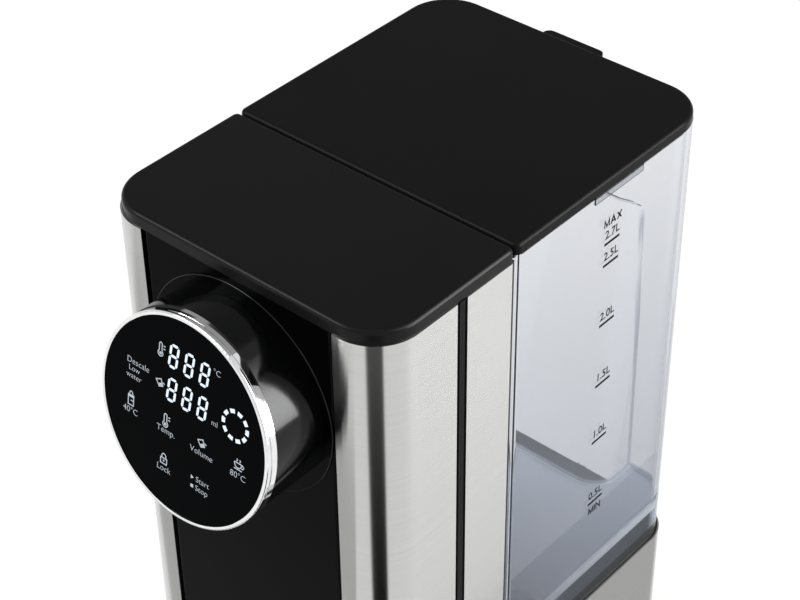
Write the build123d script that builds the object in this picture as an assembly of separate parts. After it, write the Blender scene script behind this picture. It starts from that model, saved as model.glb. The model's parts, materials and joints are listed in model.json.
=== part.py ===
"""Countertop hot water dispenser: steel column with a round display head, clear lift-off tank
with a hinged lid behind it, drip tray in front. Millimetres, +Z up, +Y to the rear. The origin
is the middle of the footprint, on the table."""
import os
from math import cos, radians, sin

from build123d import *

# Overall sizes
HEIGHT = 320.0           # table to the top of both covers
COVER_WIDTH = 150.0      # width of the front cover and the lid
COVER_DEPTH = 213.8      # front cover's front edge to the lid's rear edge
FRONT_COVER_LENGTH = 78.6
COVER_CORNER = 21.5      # large corners of the front cover and the lid
SEAM_CORNER = 2.8        # small corners where the two covers meet
SEAM_GAP = 1.2
TOE_REACH = 72.0         # drip tray in front of the front cover
HOOD_REACH = 3.5         # hinge hood behind the lid

# Clearances
FIT = 0.1                # between fixed pieces that nest
RUN = 0.05               # radial, shaft in hole
SLIDE = 0.4              # between fixed and lift-off pieces

# Steel skins
SKIN_PROUD = 0.5         # steel outside the covers' edge
SKIN_T = 0.8
SKIN_REAR_CORNER = 18.5
SKIN_EDGE_X = 51.0       # inner edge of the front skins
SKIN_REAR_SET = 2.2      # side panels' rear edge ahead of the column's rear
STRIP_OFFSET = 43.2      # side strip behind the front edge
STRIP_WIDTH = 6.0
STRIP_RIDGE = 3.2
STRIP_RECESS = 1.2

# Heights of the base
FOOT_H = 4.0
FOOT_R = 8.0
FOOT_PEG_R = 4.0
FOOT_INSET = 21.0        # feet inside the pan's sides and front
FOOT_REAR_INSET = 12.8
PAN_T = 3.0
PLINTH = 3.0             # black line under the steel
BASE_TOP = 73.5          # top edge of the base's steel band
SEAT_FLANGE_T = 2.5
SEAT_BOSS_H = 18.0       # seat's screw bosses, down to the pan's posts
COLLAR_H = 4.5
PLATFORM_H = 12.5
WALL = 2.5               # plastic walls

# Covers
COVER_DROP = 6.4         # height of the front cover's side
LID_DROP = 5.3
COVER_WALL = 2.4
COVER_EDGE = 2.0         # rounding of the top edges
PEG_R = 2.4

# Tank
TANK_INSET = 0.8         # tank wall inside the lid's edge
TANK_GAP = 1.0           # tank behind the column
TANK_T = 2.5
TANK_REAR_CORNER = 18.0
TANK_FRONT_CORNER = 4.0
SKIRT_H = 15.0           # tank wall below its floor
FLOOR_T = 3.0
RIM_GAP = 0.3            # tank rim under the lid
SEAT_CLEAR = 1.0
RECESS_WIDTH = 92.0      # grip recess in the tank's rear wall, at the bottom
RECESS_TOP_WIDTH = 88.0
RECESS_DEPTH = 28.4      # at the bottom
RECESS_TOP_DEPTH = 5.0
RECESS_DROP = 66.5       # below the top of the lid
RECESS_CORNER = 12.0     # upright corners
RECESS_ARCH = 7.0        # corners of the opening's top
GRIP_LENGTH = 33.0       # ledges on the tank's side walls
GRIP_H = 3.6
GRIP_REACH = 0.7
GRIP_SHIFT = 1.2         # ledge's middle behind the tank's middle

# Lid hinge
HOOD_WIDTH = 32.0
HOOD_SINK = 0.8          # hood's top below the lid's top
HOOD_SKIN = 1.1
LUG_WIDTH = 14.0
PIN_R = 1.0
PIN_DROP = 4.2           # hinge axis below the top
PIN_BEHIND = 0.9         # hinge axis behind the lid's edge
BARREL_R = 1.9
PLUG_DEPTH = 4.0         # lid's inner rim, down into the tank
PLUG_T = 1.8

# Tank valve and inlet socket
VALVE_OFFSET = 28.4      # valve axis behind the tank's front wall
VALVE_X = 12.0           # and right of the middle
VALVE_R = 7.8
VALVE_BORE = 5.6
VALVE_REACH = 20.0       # valve tube below the tank's floor
VALVE_WEB = 3.0
VALVE_FLANGE_R = 11.0
VALVE_FLANGE_T = 2.0
VALVE_HOLE = 3.2
VALVE_LIFT = 2.5         # stem held open while the tank is seated
STEM_R = 1.6
NOSE_R = 2.0
DISC_R = 4.8
DISC_T = 2.0
SEAL_T = 1.0
GASKET_T = 1.0
NUT_H = 3.0
SPRING_R = 3.5
SPRING_WIRE = 0.9
SPRING_TURNS = 6
FILTER_R = 15.0
FILTER_H = 12.0
FILTER_T = 1.2
FILTER_SLOTS = 12
SOCKET_R = 11.0
SOCKET_FLANGE = 3.5
SOCKET_DEPTH = 16.0      # cup that takes the valve tube
SOCKET_FLOOR = 3.0
WELL_R = 17.0
WELL_FLOOR = 3.0
SOCKET_PIN_R = 1.2

# Hoses and barbs
HOSE_R = 4.5
HOSE_BORE = 3.0
BARB_R = 2.9
BARB_BORE = 1.9
BARB_L = 10.0
HOSE_BEND = 16.0
TANK_HOSE_BEND = 12.0
CLIP_T = 0.9
CLIP_W = 4.0

# Head
HEAD_DROP = 57.1         # head axis below the top
HEAD_REACH = 31.9        # display face in front of the front cover
HEAD_TILT = 10.4         # display face leans back
HEAD_R = 45.2
HEAD_WALL = 2.5
HEAD_RIM_R = 49.8        # rim round the head's root, on the panel
HEAD_RIM_DROP = 1.8      # rim's middle below the head's axis
HEAD_RIM_T = 1.0
BEZEL_R = 45.9
BEZEL_DEPTH = 4.2
BEZEL_LIP = 0.8
BEZEL_GROOVE = 0.7
GLASS_R = 44.1
GLASS_T = 2.0
SLEEVE_R = 41.4
SLEEVE_T = 1.0
SLEEVE_DEPTH = 8.0
GUIDE_T = 4.0
BOARD_T = 1.6
FLANGE_INNER_R = 36.0
FLANGE_T = 6.0
PANEL_T = 3.0
PANEL_SET = 0.2          # panel's face behind the front cover's edge
PANEL_EDGE = 2.0
PANEL_GAP = 0.6          # between the panel and the skins' edges
POST_WIDTH = 5.0
POST_DEPTH = 6.0
HEAD_SCREW_ANGLE = 30.0  # head's screws above and below its middle

# Spout
SPOUT_BEHIND = 11.9      # spout axis behind the middle of the display face
SPOUT_R = 7.0
SPOUT_TIP_DROP = 55.9    # spout's mouth, top and inlet below the head's axis
SPOUT_TOP_DROP = 19.9
SPOUT_INLET_DROP = 26.9
SPOUT_BORE = 3.5
TIP_R = 5.5
TIP_H = 6.0
TIP_SHOW = 2.0

# Pump, flow meter and heater
WATER_Z = 30.0           # height of the hoses in the base
PUMP_SIDE = 28.6         # pump axis inside the frame's left face
PUMP_BACK = 65.4         # pump head's front ahead of the pan's rear
PUMP_R = 15.0
PUMP_HEAD_L = 18.0
MOTOR_R = 12.0
MOTOR_L = 32.0
PORT_SPREAD = 10.0
SHAFT_R = 1.5
ECCENTRIC_R = 6.0
ECCENTRIC = 1.5
METER_SET = 16.0         # flow meter's axis ahead of the column's rear
METER_R = 12.0
METER_H = 20.0
METER_CAP = 3.0
METER_WALL = 2.0
VANE_T = 1.2
VANES = 6
PIVOT_R = 0.8
HEATER_OFFSET = 40.0
HEATER_R = 12.0
HEATER_WALL = 1.2
HEATER_L = 86.0
HEATER_RISE = 0.5        # straight hose under the heater's barb
CAP_R = 14.0
CAP_H = 16.0
CAP_SOCKET = 10.0
BRACKET_T = 2.0
BRACKET_WIDTH = 18.0
CUTOUT_R = 6.0
SENSOR_R = 2.0

# Electrics
PCB_T = 1.6
PCB_WIDTH = 58.0
PCB_LENGTH = 62.0
PCB_SIDE = 52.6          # board's middle inside the frame's right face
PCB_BACK = 47.4          # and ahead of the pan's rear
STANDOFF_H = 9.0
STANDOFF_R = 3.5
COMPONENT_PITCH = 14.0   # components about the board's middle
COMPONENT_H = 22.0
TRANSFORMER = 18.0
RELAY_WIDTH = 14.0
RELAY_H = 16.0
CAPACITOR_R = 6.0
SINK_WIDTH = 16.0
FIN_T = 1.6
CABLE_R = 2.0
PLUG_H = 3.0
GLAND_SIDE = 29.6        # gland inside the frame's right face
GLAND_Z = 25.0
GLAND_R = 6.0
GLAND_FLANGE_R = 9.0
GLAND_FLANGE_T = 2.0
GLAND_L = 16.0
CORD_R = 3.6

# Screws
SCREW_R = 1.4
SCREW_HEAD_R = 3.0
SCREW_HEAD_H = 1.6
BOSS_R = 4.5

# Drip tray
TRAY_GAP = 1.0           # tray in front of the front cover's edge
TRAY_H = 24.0
TRAY_WALL = 2.4
TRAY_LEDGE = 3.0
GRID_T = 1.5
GRID_SINK = 0.8
RAIL_X = 42.0
RAIL_W = 3.0
RAIL_H = 2.4
SLOT_W = 3.6
SLOT_PITCH = 8.0

# Places along Y
FRONT = (TOE_REACH - COVER_DEPTH - HOOD_REACH) / 2
COLUMN_REAR = FRONT + FRONT_COVER_LENGTH
LID_FRONT = COLUMN_REAR + SEAM_GAP
LID_REAR = FRONT + COVER_DEPTH
TOE_FRONT = FRONT - TOE_REACH
SKIN_FRONT = FRONT - SKIN_PROUD
SKIN_REAR = LID_REAR + SKIN_PROUD
STRIP_FRONT = FRONT + STRIP_OFFSET
STRIP_REAR = STRIP_FRONT + STRIP_WIDTH
TANK_FRONT = COLUMN_REAR + TANK_GAP
TANK_REAR = LID_REAR - TANK_INSET
FRAME_FRONT = SKIN_FRONT + SKIN_T + FIT
FRAME_REAR = COLUMN_REAR - COVER_WALL
PAN_REAR = SKIN_REAR - SKIN_T - FIT
PANEL_FRONT = FRONT + PANEL_SET
PANEL_BACK = PANEL_FRONT + PANEL_T
VALVE_Y = TANK_FRONT + VALVE_OFFSET
PUMP_FRONT = PAN_REAR - PUMP_BACK
HEATER_Y = FRONT + HEATER_OFFSET
SPOUT_Y = FRONT - HEAD_REACH + SPOUT_BEHIND
PCB_Y = PAN_REAR - PCB_BACK
HINGE_Y = LID_REAR + PIN_BEHIND
SOCKET_Y = PCB_Y - PCB_LENGTH / 2 + 2 * STANDOFF_R + 2 * CABLE_R
SPOUT_BACK = SPOUT_Y + SPOUT_R
METER_Y = COLUMN_REAR - METER_SET
METER_OUT = METER_Y + METER_R
TRAY_REAR = FRONT - TRAY_GAP

# Half widths and places across X
COVER_HALF = COVER_WIDTH / 2
SKIN_HALF = COVER_HALF + SKIN_PROUD
FRAME_HALF = SKIN_HALF - SKIN_T - FIT
TANK_HALF = COVER_HALF - TANK_INSET
PANEL_HALF = SKIN_EDGE_X - PANEL_GAP
PCB_X = FRAME_HALF - PCB_SIDE
SOCKET_X = PCB_X - COMPONENT_PITCH
GLAND_X = FRAME_HALF - GLAND_SIDE
PUMP_X = PUMP_SIDE - FRAME_HALF
METER_X = PUMP_X + PORT_SPREAD
METER_IN = METER_X + METER_R
HEATER_X = PUMP_X - PORT_SPREAD

# Heights
PAN_TOP = FOOT_H + PAN_T
SKIN_BOTTOM = PAN_TOP + PLINTH
SEAT_Z = BASE_TOP - SEAT_FLANGE_T
POST_TOP = SEAT_Z - SEAT_BOSS_H
COLLAR_TOP = BASE_TOP + COLLAR_H
PLATFORM_TOP = COLLAR_TOP + PLATFORM_H
FLOOR_UNDER = COLLAR_TOP + SKIRT_H
FLOOR_TOP = FLOOR_UNDER + FLOOR_T
COVER_UNDER = HEIGHT - COVER_DROP
LID_UNDER = HEIGHT - LID_DROP
TANK_TOP = LID_UNDER - RIM_GAP
RECESS_TOP = HEIGHT - RECESS_DROP
HEAD_Z = HEIGHT - HEAD_DROP
HINGE_Z = HEIGHT - PIN_DROP
SPOUT_TIP_Z = HEAD_Z - SPOUT_TIP_DROP
SPOUT_TOP_Z = HEAD_Z - SPOUT_TOP_DROP
SPOUT_INLET_Z = HEAD_Z - SPOUT_INLET_DROP
TRAY_Z = PAN_TOP
TRAY_TOP = TRAY_Z + TRAY_H
VALVE_BOTTOM = FLOOR_UNDER - VALVE_REACH
VALVE_SEAT = VALVE_BOTTOM + VALVE_WEB
DECK_Z = COVER_UNDER - WALL
PCB_Z = PAN_TOP + STANDOFF_H
PCB_TOP = PCB_Z + PCB_T
METER_Z = WATER_Z - METER_H / 2
CAP_LOW = WATER_Z + HOSE_BEND + BARB_L + HEATER_RISE
HEATER_Z = CAP_LOW + CAP_H - CAP_SOCKET
HEATER_TOP = HEATER_Z + HEATER_L
CAP_HIGH = HEATER_TOP + CAP_H - CAP_SOCKET
SENSOR_Z = (HEATER_TOP + CAP_HIGH) / 2
LEDGE_Z = TRAY_TOP - GRID_SINK - GRID_T
WELL_Z = PLATFORM_TOP - SOCKET_DEPTH / 2 - SOCKET_FLANGE
SOCKET_TOP = WELL_Z + SOCKET_FLANGE / 2
SOCKET_FLOOR_Z = VALVE_BOTTOM - SOCKET_FLOOR
SOCKET_BOTTOM = SOCKET_FLOOR_Z - SOCKET_FLOOR
FLANGE_Z = FLOOR_TOP + GASKET_T
VALVE_TOP = FLANGE_Z + VALVE_FLANGE_T
DISC_Z = VALVE_SEAT + VALVE_LIFT + SEAL_T
NOSE_Z = VALVE_BOTTOM + VALVE_WEB / 2

# Display face, and depths along its outward normal
FACE = Plane((0, FRONT - HEAD_REACH, HEAD_Z), x_dir=(1, 0, 0),
             z_dir=(0, -cos(radians(HEAD_TILT)), sin(radians(HEAD_TILT))))
GLASS_BACK = BEZEL_LIP / 2 - GLASS_T
GUIDE_BACK = GLASS_BACK - GUIDE_T
BOARD_BACK = GUIDE_BACK - BOARD_T

# Ends of the spout's upright
SPOUT_LOW = (0, SPOUT_Y, SPOUT_TIP_Z)
SPOUT_HIGH = (0, SPOUT_Y, SPOUT_TOP_Z)

# Corner radii of the nested shells
SKIN_CORNER = COVER_CORNER - SKIN_PROUD
FRAME_CORNER = SKIN_CORNER - SKIN_T - FIT
PAN_REAR_CORNER = SKIN_REAR_CORNER - SKIN_T - FIT

# Shared helpers


def outline(half, front, rear, front_corner=0.0, rear_corner=0.0):
    """Plan view rectangle, centred on X, with its own front and rear corner radii."""
    face = Pos(0, (front + rear) / 2) * Rectangle(2 * half, rear - front)
    if front_corner > 0:
        face = fillet(face.vertices().group_by(Axis.Y)[0], front_corner)
    if rear_corner > 0:
        face = fillet(face.vertices().group_by(Axis.Y)[-1], rear_corner)
    return face


def prism(face, low, high):
    """Plan face raised from one height to another."""
    return Pos(0, 0, low) * extrude(face, high - low)


def block(low, high):
    """Box between two corners."""
    size = [b - a for a, b in zip(low, high)]
    return Solid.make_box(*size, Plane(low))


def rod(start, end, radius):
    """Round bar between two points."""
    run = Vector(*end) - Vector(*start)
    return Solid.make_cylinder(radius, run.length, Plane(start, z_dir=run))


def pipe(start, end, radius, bore):
    """Straight hollow bar."""
    return rod(start, end, radius) - rod(start, end, bore)


def bent_tube(points, radius, bend):
    """Round tube along straight runs with tangent arcs."""
    path = FilletPolyline(*points, radius=bend)
    section = Plane(path @ 0, z_dir=path % 0) * Circle(radius)
    return sweep(section, path)


def both_sides(shape):
    """A shape and its mirror image across the middle of the width."""
    return [shape, mirror(shape, Plane.YZ)]


def join(shapes):
    """One solid from touching or overlapping shapes."""
    whole = shapes[0]
    for shape in shapes[1:]:
        whole = whole + shape
    return whole


def group(shapes):
    """Separate solids that share a node."""
    return Compound([solid for shape in shapes for solid in shape.solids()])


def screw(point, direction):
    """Pan head screw. The point is the seat of the head and the direction the way it is driven."""
    length = Vector(*direction).length
    unit = Vector(*direction) / length
    seat = Vector(*point)
    head = seat - unit * SCREW_HEAD_H
    shank = rod(seat, seat + unit * length, SCREW_R)
    cross = rod(head, head + unit * SCREW_HEAD_H / 2, SCREW_R / 2)
    return rod(head, seat, SCREW_HEAD_R) + shank - cross


# Steel skins and side strips

def skin_sketch():
    """Plan of the whole steel wrap, one sheet thick."""
    outer = outline(SKIN_HALF, SKIN_FRONT, SKIN_REAR, SKIN_CORNER, SKIN_REAR_CORNER)
    inner = outline(SKIN_HALF - SKIN_T, SKIN_FRONT + SKIN_T, SKIN_REAR - SKIN_T,
                    SKIN_CORNER - SKIN_T, SKIN_REAR_CORNER - SKIN_T)
    return outer - inner


def front_skin():
    """Right front corner: steel from the gloss panel round to the side strip."""
    sheet = prism(skin_sketch(), SKIN_BOTTOM, COVER_UNDER)
    keep = block((SKIN_EDGE_X, SKIN_FRONT, SKIN_BOTTOM), (SKIN_HALF, STRIP_FRONT, COVER_UNDER))
    return sheet & keep


def rear_skin():
    """Base band round the rear, with the two side panels of the column on the same sheet."""
    sheet = prism(skin_sketch(), SKIN_BOTTOM, COVER_UNDER)
    keep = block((-SKIN_HALF, STRIP_REAR, SKIN_BOTTOM), (SKIN_HALF, SKIN_REAR, COVER_UNDER))
    edge = COLUMN_REAR - SKIN_REAR_SET
    over_base = block((-SKIN_HALF, edge, BASE_TOP), (SKIN_HALF, SKIN_REAR, COVER_UNDER))
    hole = rod((GLAND_X, SKIN_REAR - WALL, GLAND_Z), (GLAND_X, SKIN_REAR, GLAND_Z), GLAND_R + FIT)
    return (sheet & keep) - over_base - hole


def side_strip():
    """Black strip in the right side seam, with a raised ridge along it."""
    bed = FRAME_HALF - STRIP_RECESS
    front = STRIP_FRONT + FIT
    rear = STRIP_REAR - FIT
    middle = (front + rear) / 2
    base = block((bed, front, SKIN_BOTTOM), (FRAME_HALF, rear, COVER_UNDER))
    ridge = block((bed, middle - STRIP_RIDGE / 2, SKIN_BOTTOM),
                  (SKIN_HALF - FIT, middle + STRIP_RIDGE / 2, COVER_UNDER))
    return base + ridge


# Base

def foot_points():
    """Middles of the four feet."""
    x = FRAME_HALF - FOOT_INSET
    front = TOE_FRONT + FOOT_INSET
    rear = PAN_REAR - FOOT_REAR_INSET
    return [(sx * x, y) for sx in (-1, 1) for y in (front, rear)]


def frame_boss_points():
    """Screw bosses of the column frame, on the base pan."""
    x = FRAME_HALF - WALL - BOSS_R / 2
    return [(sx * x, y) for sx in (-1, 1) for y in (FRONT + FRAME_CORNER + BOSS_R, FRAME_REAR - BOSS_R)]


def seat_boss_points():
    """Screw posts of the base pan that meet the tank seat's bosses."""
    x = FRAME_HALF - WALL - BOSS_R - SLIDE
    front = COLUMN_REAR + 3 * BOSS_R
    rear = PAN_REAR - PAN_REAR_CORNER - BOSS_R
    return [(sx * x, y) for sx in (-1, 1) for y in (front, rear)]


def pcb_points():
    """Standoffs of the power board."""
    x = PCB_WIDTH / 2 - STANDOFF_R
    y = PCB_LENGTH / 2 - STANDOFF_R
    return [(PCB_X + sx * x, PCB_Y + sy * y) for sx in (-1, 1) for sy in (-1, 1)]


def base_pan():
    """Floor of the whole machine, with screw posts, board standoffs and rails for the tray."""
    plan = outline(FRAME_HALF, TOE_FRONT + TRAY_WALL, PAN_REAR, FRAME_CORNER, PAN_REAR_CORNER)
    floor = prism(plan, FOOT_H, PAN_TOP)
    rail = block((RAIL_X, TOE_FRONT + FRAME_CORNER, PAN_TOP),
                 (RAIL_X + RAIL_W, FRONT - TRAY_GAP, PAN_TOP + RAIL_H))
    standoffs = [rod((x, y, PAN_TOP), (x, y, PAN_TOP + STANDOFF_H), STANDOFF_R) for x, y in pcb_points()]
    meter_post = rod((METER_X, METER_Y, PAN_TOP), (METER_X, METER_Y, METER_Z), METER_R / 2)
    pan = join([floor, meter_post] + both_sides(rail) + standoffs)
    for x, y in foot_points():
        pan = pan - rod((x, y, FOOT_H), (x, y, PAN_TOP), FOOT_PEG_R + FIT)
    for x, y in frame_boss_points():
        pan = pan - rod((x, y, FOOT_H), (x, y, PAN_TOP), SCREW_R + FIT)
        pan = pan - rod((x, y, FOOT_H), (x, y, FOOT_H + SCREW_HEAD_H), SCREW_HEAD_R + FIT)
    for x, y in seat_boss_points():
        pan = pan + rod((x, y, PAN_TOP), (x, y, POST_TOP), BOSS_R)
        pan = pan - rod((x, y, FOOT_H), (x, y, POST_TOP), SCREW_R + FIT)
        pan = pan - rod((x, y, FOOT_H), (x, y, POST_TOP - SCREW_HEAD_R), SCREW_HEAD_R + FIT)
    for x, y in pcb_points():
        top = PAN_TOP + STANDOFF_H
        pan = pan - rod((x, y, PAN_TOP), (x, y, top), SCREW_R + FIT)
    return pan


def base_wall():
    """Upright wall round the rear compartment, clamped between the pan and the tank seat."""
    front = FRAME_REAR + FIT
    wall = (outline(FRAME_HALF, front, PAN_REAR, 0, PAN_REAR_CORNER)
            - outline(FRAME_HALF - WALL, front - WALL, PAN_REAR - WALL, 0, PAN_REAR_CORNER - WALL))
    gland = rod((GLAND_X, PAN_REAR - WALL, GLAND_Z), (GLAND_X, PAN_REAR, GLAND_Z), GLAND_R + FIT)
    return prism(wall, PAN_TOP, SEAT_Z) - gland


def rubber_feet():
    """Round feet with pegs pressed up into the pan."""
    feet = []
    for x, y in foot_points():
        pad = fillet(rod((x, y, 0), (x, y, FOOT_H), FOOT_R).edges().group_by(Axis.Z)[0], FOOT_H / 4)
        feet.append(pad + rod((x, y, FOOT_H), (x, y, PAN_TOP), FOOT_PEG_R))
    return group(feet)


def base_screws():
    """Screws up through the pan into the column frame and the tank seat."""
    drive = (0, 0, 3 * PAN_T)
    frame_screws = [screw((x, y, FOOT_H + SCREW_HEAD_H), drive) for x, y in frame_boss_points()]
    seat_screws = [screw((x, y, POST_TOP - SCREW_HEAD_R), drive) for x, y in seat_boss_points()]
    return group(frame_screws + seat_screws)


# Column

def wall_sketch():
    """Plan of the column's plastic wall, open to the front between the skins' edges."""
    outer = outline(FRAME_HALF, FRAME_FRONT, FRAME_REAR, FRAME_CORNER)
    inner = outline(FRAME_HALF - WALL, FRAME_FRONT + WALL, FRAME_REAR + WALL, FRAME_CORNER - WALL)
    mouth = outline(SKIN_EDGE_X, FRAME_FRONT - WALL, FRAME_FRONT + 2 * WALL)
    return outer - inner - mouth


def post():
    """Right front post that the gloss panel is screwed to."""
    low = PANEL_HALF - POST_WIDTH
    behind = block((low, PANEL_BACK, PAN_TOP), (SKIN_EDGE_X + WALL, PANEL_BACK + POST_DEPTH, COVER_UNDER))
    root = block((SKIN_EDGE_X, FRAME_FRONT, PAN_TOP), (SKIN_EDGE_X + WALL, PANEL_BACK + WALL, COVER_UNDER))
    return behind + root


def panel_screw_points():
    """Places on the posts where the gloss panel is screwed on."""
    x = PANEL_HALF - POST_WIDTH / 2
    low = SKIN_BOTTOM + 2 * BOSS_R
    high = HEAD_Z - FLANGE_INNER_R
    return [(sx * x, z) for sx in (-1, 1) for z in (low, (low + high) / 2, high)]


def back_screw_points():
    """Places where the column's rear wall is screwed to the frame."""
    x = FRAME_HALF - WALL - BOSS_R / 2
    return [(sx * x, z) for sx in (-1, 1) for z in (PLATFORM_TOP, DECK_Z - 4 * BOSS_R)]


def peg_points():
    """Places of the front cover's pegs in the column's deck."""
    x = COVER_HALF - COVER_CORNER
    return [(sx * x, y) for sx in (-1, 1) for y in (FRONT + COVER_CORNER, COLUMN_REAR - COVER_CORNER)]


def column_frame():
    """Plastic frame behind the skins: two side walls, posts for the panel and a deck on top."""
    wall = prism(wall_sketch(), PAN_TOP, COVER_UNDER)
    deck = prism(outline(FRAME_HALF - WALL, PANEL_BACK, FRAME_REAR, FRAME_CORNER - WALL), DECK_Z, COVER_UNDER)
    frame = join([wall, deck] + both_sides(post()))
    for x, y in frame_boss_points():
        frame = frame + rod((x, y, PAN_TOP), (x, y, PAN_TOP + 3 * BOSS_R), BOSS_R)
        frame = frame - rod((x, y, PAN_TOP), (x, y, PAN_TOP + 3 * BOSS_R), SCREW_R + FIT)
    for x, z in back_screw_points():
        frame = frame + rod((x, FRAME_REAR - 3 * BOSS_R, z), (x, FRAME_REAR, z), BOSS_R)
        frame = frame - rod((x, FRAME_REAR - 3 * BOSS_R, z), (x, FRAME_REAR, z), SCREW_R + FIT)
    keep = outline(FRAME_HALF, FRAME_FRONT, FRAME_REAR, FRAME_CORNER)
    frame = frame & prism(keep, PAN_TOP, COVER_UNDER)
    for x, z in panel_screw_points():
        frame = frame - rod((x, PANEL_BACK, z), (x, PANEL_BACK + POST_DEPTH, z), SCREW_R + FIT)
    for x, y in peg_points():
        frame = frame - rod((x, y, DECK_Z), (x, y, COVER_UNDER), PEG_R + FIT)
    groove = block((FRAME_HALF - STRIP_RECESS, STRIP_FRONT, SKIN_BOTTOM),
                   (FRAME_HALF, STRIP_REAR, COVER_UNDER))
    for cut in both_sides(groove):
        frame = frame - cut
    return frame


def column_back():
    """Rear wall of the column, in front of the tank."""
    plate = block((-FRAME_HALF, FRAME_REAR, SEAT_Z), (FRAME_HALF, COLUMN_REAR, COVER_UNDER))
    for x, z in back_screw_points():
        plate = plate - rod((x, FRAME_REAR, z), (x, COLUMN_REAR, z), SCREW_R + FIT)
        plate = plate - rod((x, COLUMN_REAR - SCREW_HEAD_H, z), (x, COLUMN_REAR, z), SCREW_HEAD_R + FIT)
    return plate


def back_screws():
    """Screws through the rear wall into the frame."""
    seat = COLUMN_REAR - SCREW_HEAD_H
    return group([screw((x, seat, z), (0, -2 * BOSS_R, 0)) for x, z in back_screw_points()])


def head_screw_points():
    """Places round the head's flange where it is screwed to the panel."""
    radius = (FLANGE_INNER_R + HEAD_R - HEAD_WALL) / 2
    x = radius * cos(radians(HEAD_SCREW_ANGLE))
    z = radius * sin(radians(HEAD_SCREW_ANGLE))
    return [(sx * x, HEAD_Z + sz * z) for sx in (-1, 1) for sz in (-1, 1)]


def front_panel():
    """Gloss panel between the skins, with the opening for the head."""
    panel = block((-PANEL_HALF, PANEL_FRONT, SKIN_BOTTOM), (PANEL_HALF, PANEL_BACK, COVER_UNDER - FIT))
    edges = panel.edges().filter_by(Axis.Z).group_by(Axis.Y)[0]
    panel = fillet(edges, PANEL_EDGE)
    panel = panel - rod((0, PANEL_FRONT, HEAD_Z), (0, PANEL_BACK, HEAD_Z), FLANGE_INNER_R)
    for x, z in head_screw_points():
        panel = panel - rod((x, PANEL_FRONT, z), (x, PANEL_BACK, z), SCREW_R + FIT)
    for x, z in panel_screw_points():
        panel = panel - rod((x, PANEL_BACK - 2 * PANEL_T / 3, z), (x, PANEL_BACK, z), SCREW_R + FIT)
    return panel


def panel_screws():
    """Screws through the posts into the back of the panel."""
    seat = PANEL_BACK + POST_DEPTH
    drive = POST_DEPTH + PANEL_T / 2
    return group([screw((x, seat, z), (0, -drive, 0)) for x, z in panel_screw_points()])


def front_cover():
    """Top cover of the column: a shallow shell with pegs into the deck."""
    cover = prism(outline(COVER_HALF, FRONT, COLUMN_REAR, COVER_CORNER, SEAM_CORNER), COVER_UNDER, HEIGHT)
    cover = fillet(cover.faces().sort_by(Axis.Z)[-1].edges(), COVER_EDGE)
    hollow = outline(COVER_HALF - COVER_WALL, FRONT + COVER_WALL, COLUMN_REAR - COVER_WALL,
                     COVER_CORNER - COVER_WALL, SEAM_CORNER - COVER_WALL)
    cover = cover - prism(hollow, COVER_UNDER, HEIGHT - COVER_WALL)
    pegs = [rod((x, y, DECK_Z), (x, y, HEIGHT - COVER_WALL / 2), PEG_R) for x, y in peg_points()]
    return join([cover] + pegs)


# Head

def on_face(depth_low, depth_high, radius):
    """Round disc square to the display face, between two depths along its normal."""
    return FACE * Pos(0, 0, depth_low) * extrude(Circle(radius), depth_high - depth_low)


def head_rim():
    """Flat rim round the head's root, its outer edge broken."""
    middle = HEAD_Z - HEAD_RIM_DROP
    rim = rod((0, PANEL_FRONT - HEAD_RIM_T, middle), (0, PANEL_FRONT, middle), HEAD_RIM_R)
    rim = fillet(rim.edges().group_by(Axis.Y)[0], HEAD_RIM_T / 2)
    return rim - rod((0, PANEL_FRONT - HEAD_RIM_T, HEAD_Z), (0, PANEL_FRONT, HEAD_Z), HEAD_R - HEAD_WALL)


def head_shell():
    """Level cylinder on the panel, its front end cut to the leaning display face."""
    long_end = FRONT - 2 * HEAD_REACH
    back = (0, PANEL_FRONT, HEAD_Z)
    shell = rod((0, long_end, HEAD_Z), back, HEAD_R)
    shell = shell - rod((0, long_end, HEAD_Z), (0, PANEL_FRONT - FLANGE_T, HEAD_Z), HEAD_R - HEAD_WALL)
    shell = shell - rod((0, PANEL_FRONT - FLANGE_T, HEAD_Z), back, FLANGE_INNER_R)
    shell = shell - on_face(-BEZEL_DEPTH, 2 * HEAD_REACH, 2 * HEAD_R)
    shell = shell + head_rim()
    shell = shell - rod(SPOUT_LOW, SPOUT_HIGH, SPOUT_R + FIT)
    for x, z in head_screw_points():
        shell = shell - rod((x, PANEL_FRONT - FLANGE_T, z), (x, PANEL_FRONT, z), SCREW_R + FIT)
    return shell


def head_screws():
    """Screws from inside the column, through the panel, into the head's flange."""
    drive = PANEL_T + FLANGE_T - PANEL_SET - FIT
    return group([screw((x, PANEL_BACK, z), (0, -drive, 0)) for x, z in head_screw_points()])


def bezel_ring():
    """Chrome ring with a groove round its side, a shelf for the glass and a sleeve into the shell."""
    ring = on_face(-BEZEL_DEPTH, BEZEL_LIP, BEZEL_R)
    ring = fillet(ring.faces().sort_by(Axis.Y)[0].edges(), BEZEL_LIP)
    ring = ring - (on_face(-BEZEL_LIP - BEZEL_GROOVE, -BEZEL_LIP, 2 * BEZEL_R)
                   - on_face(-BEZEL_LIP - BEZEL_GROOVE, -BEZEL_LIP, BEZEL_R - BEZEL_GROOVE))
    ring = ring + on_face(-SLEEVE_DEPTH, -BEZEL_DEPTH, SLEEVE_R)
    ring = ring - on_face(BEZEL_LIP / 2 - GLASS_T, BEZEL_LIP, GLASS_R + FIT)
    return ring - on_face(-SLEEVE_DEPTH, BEZEL_LIP, SLEEVE_R - SLEEVE_T)


def display_glass():
    """Black touch glass in the bezel."""
    return on_face(GLASS_BACK, BEZEL_LIP / 2, GLASS_R)


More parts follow.
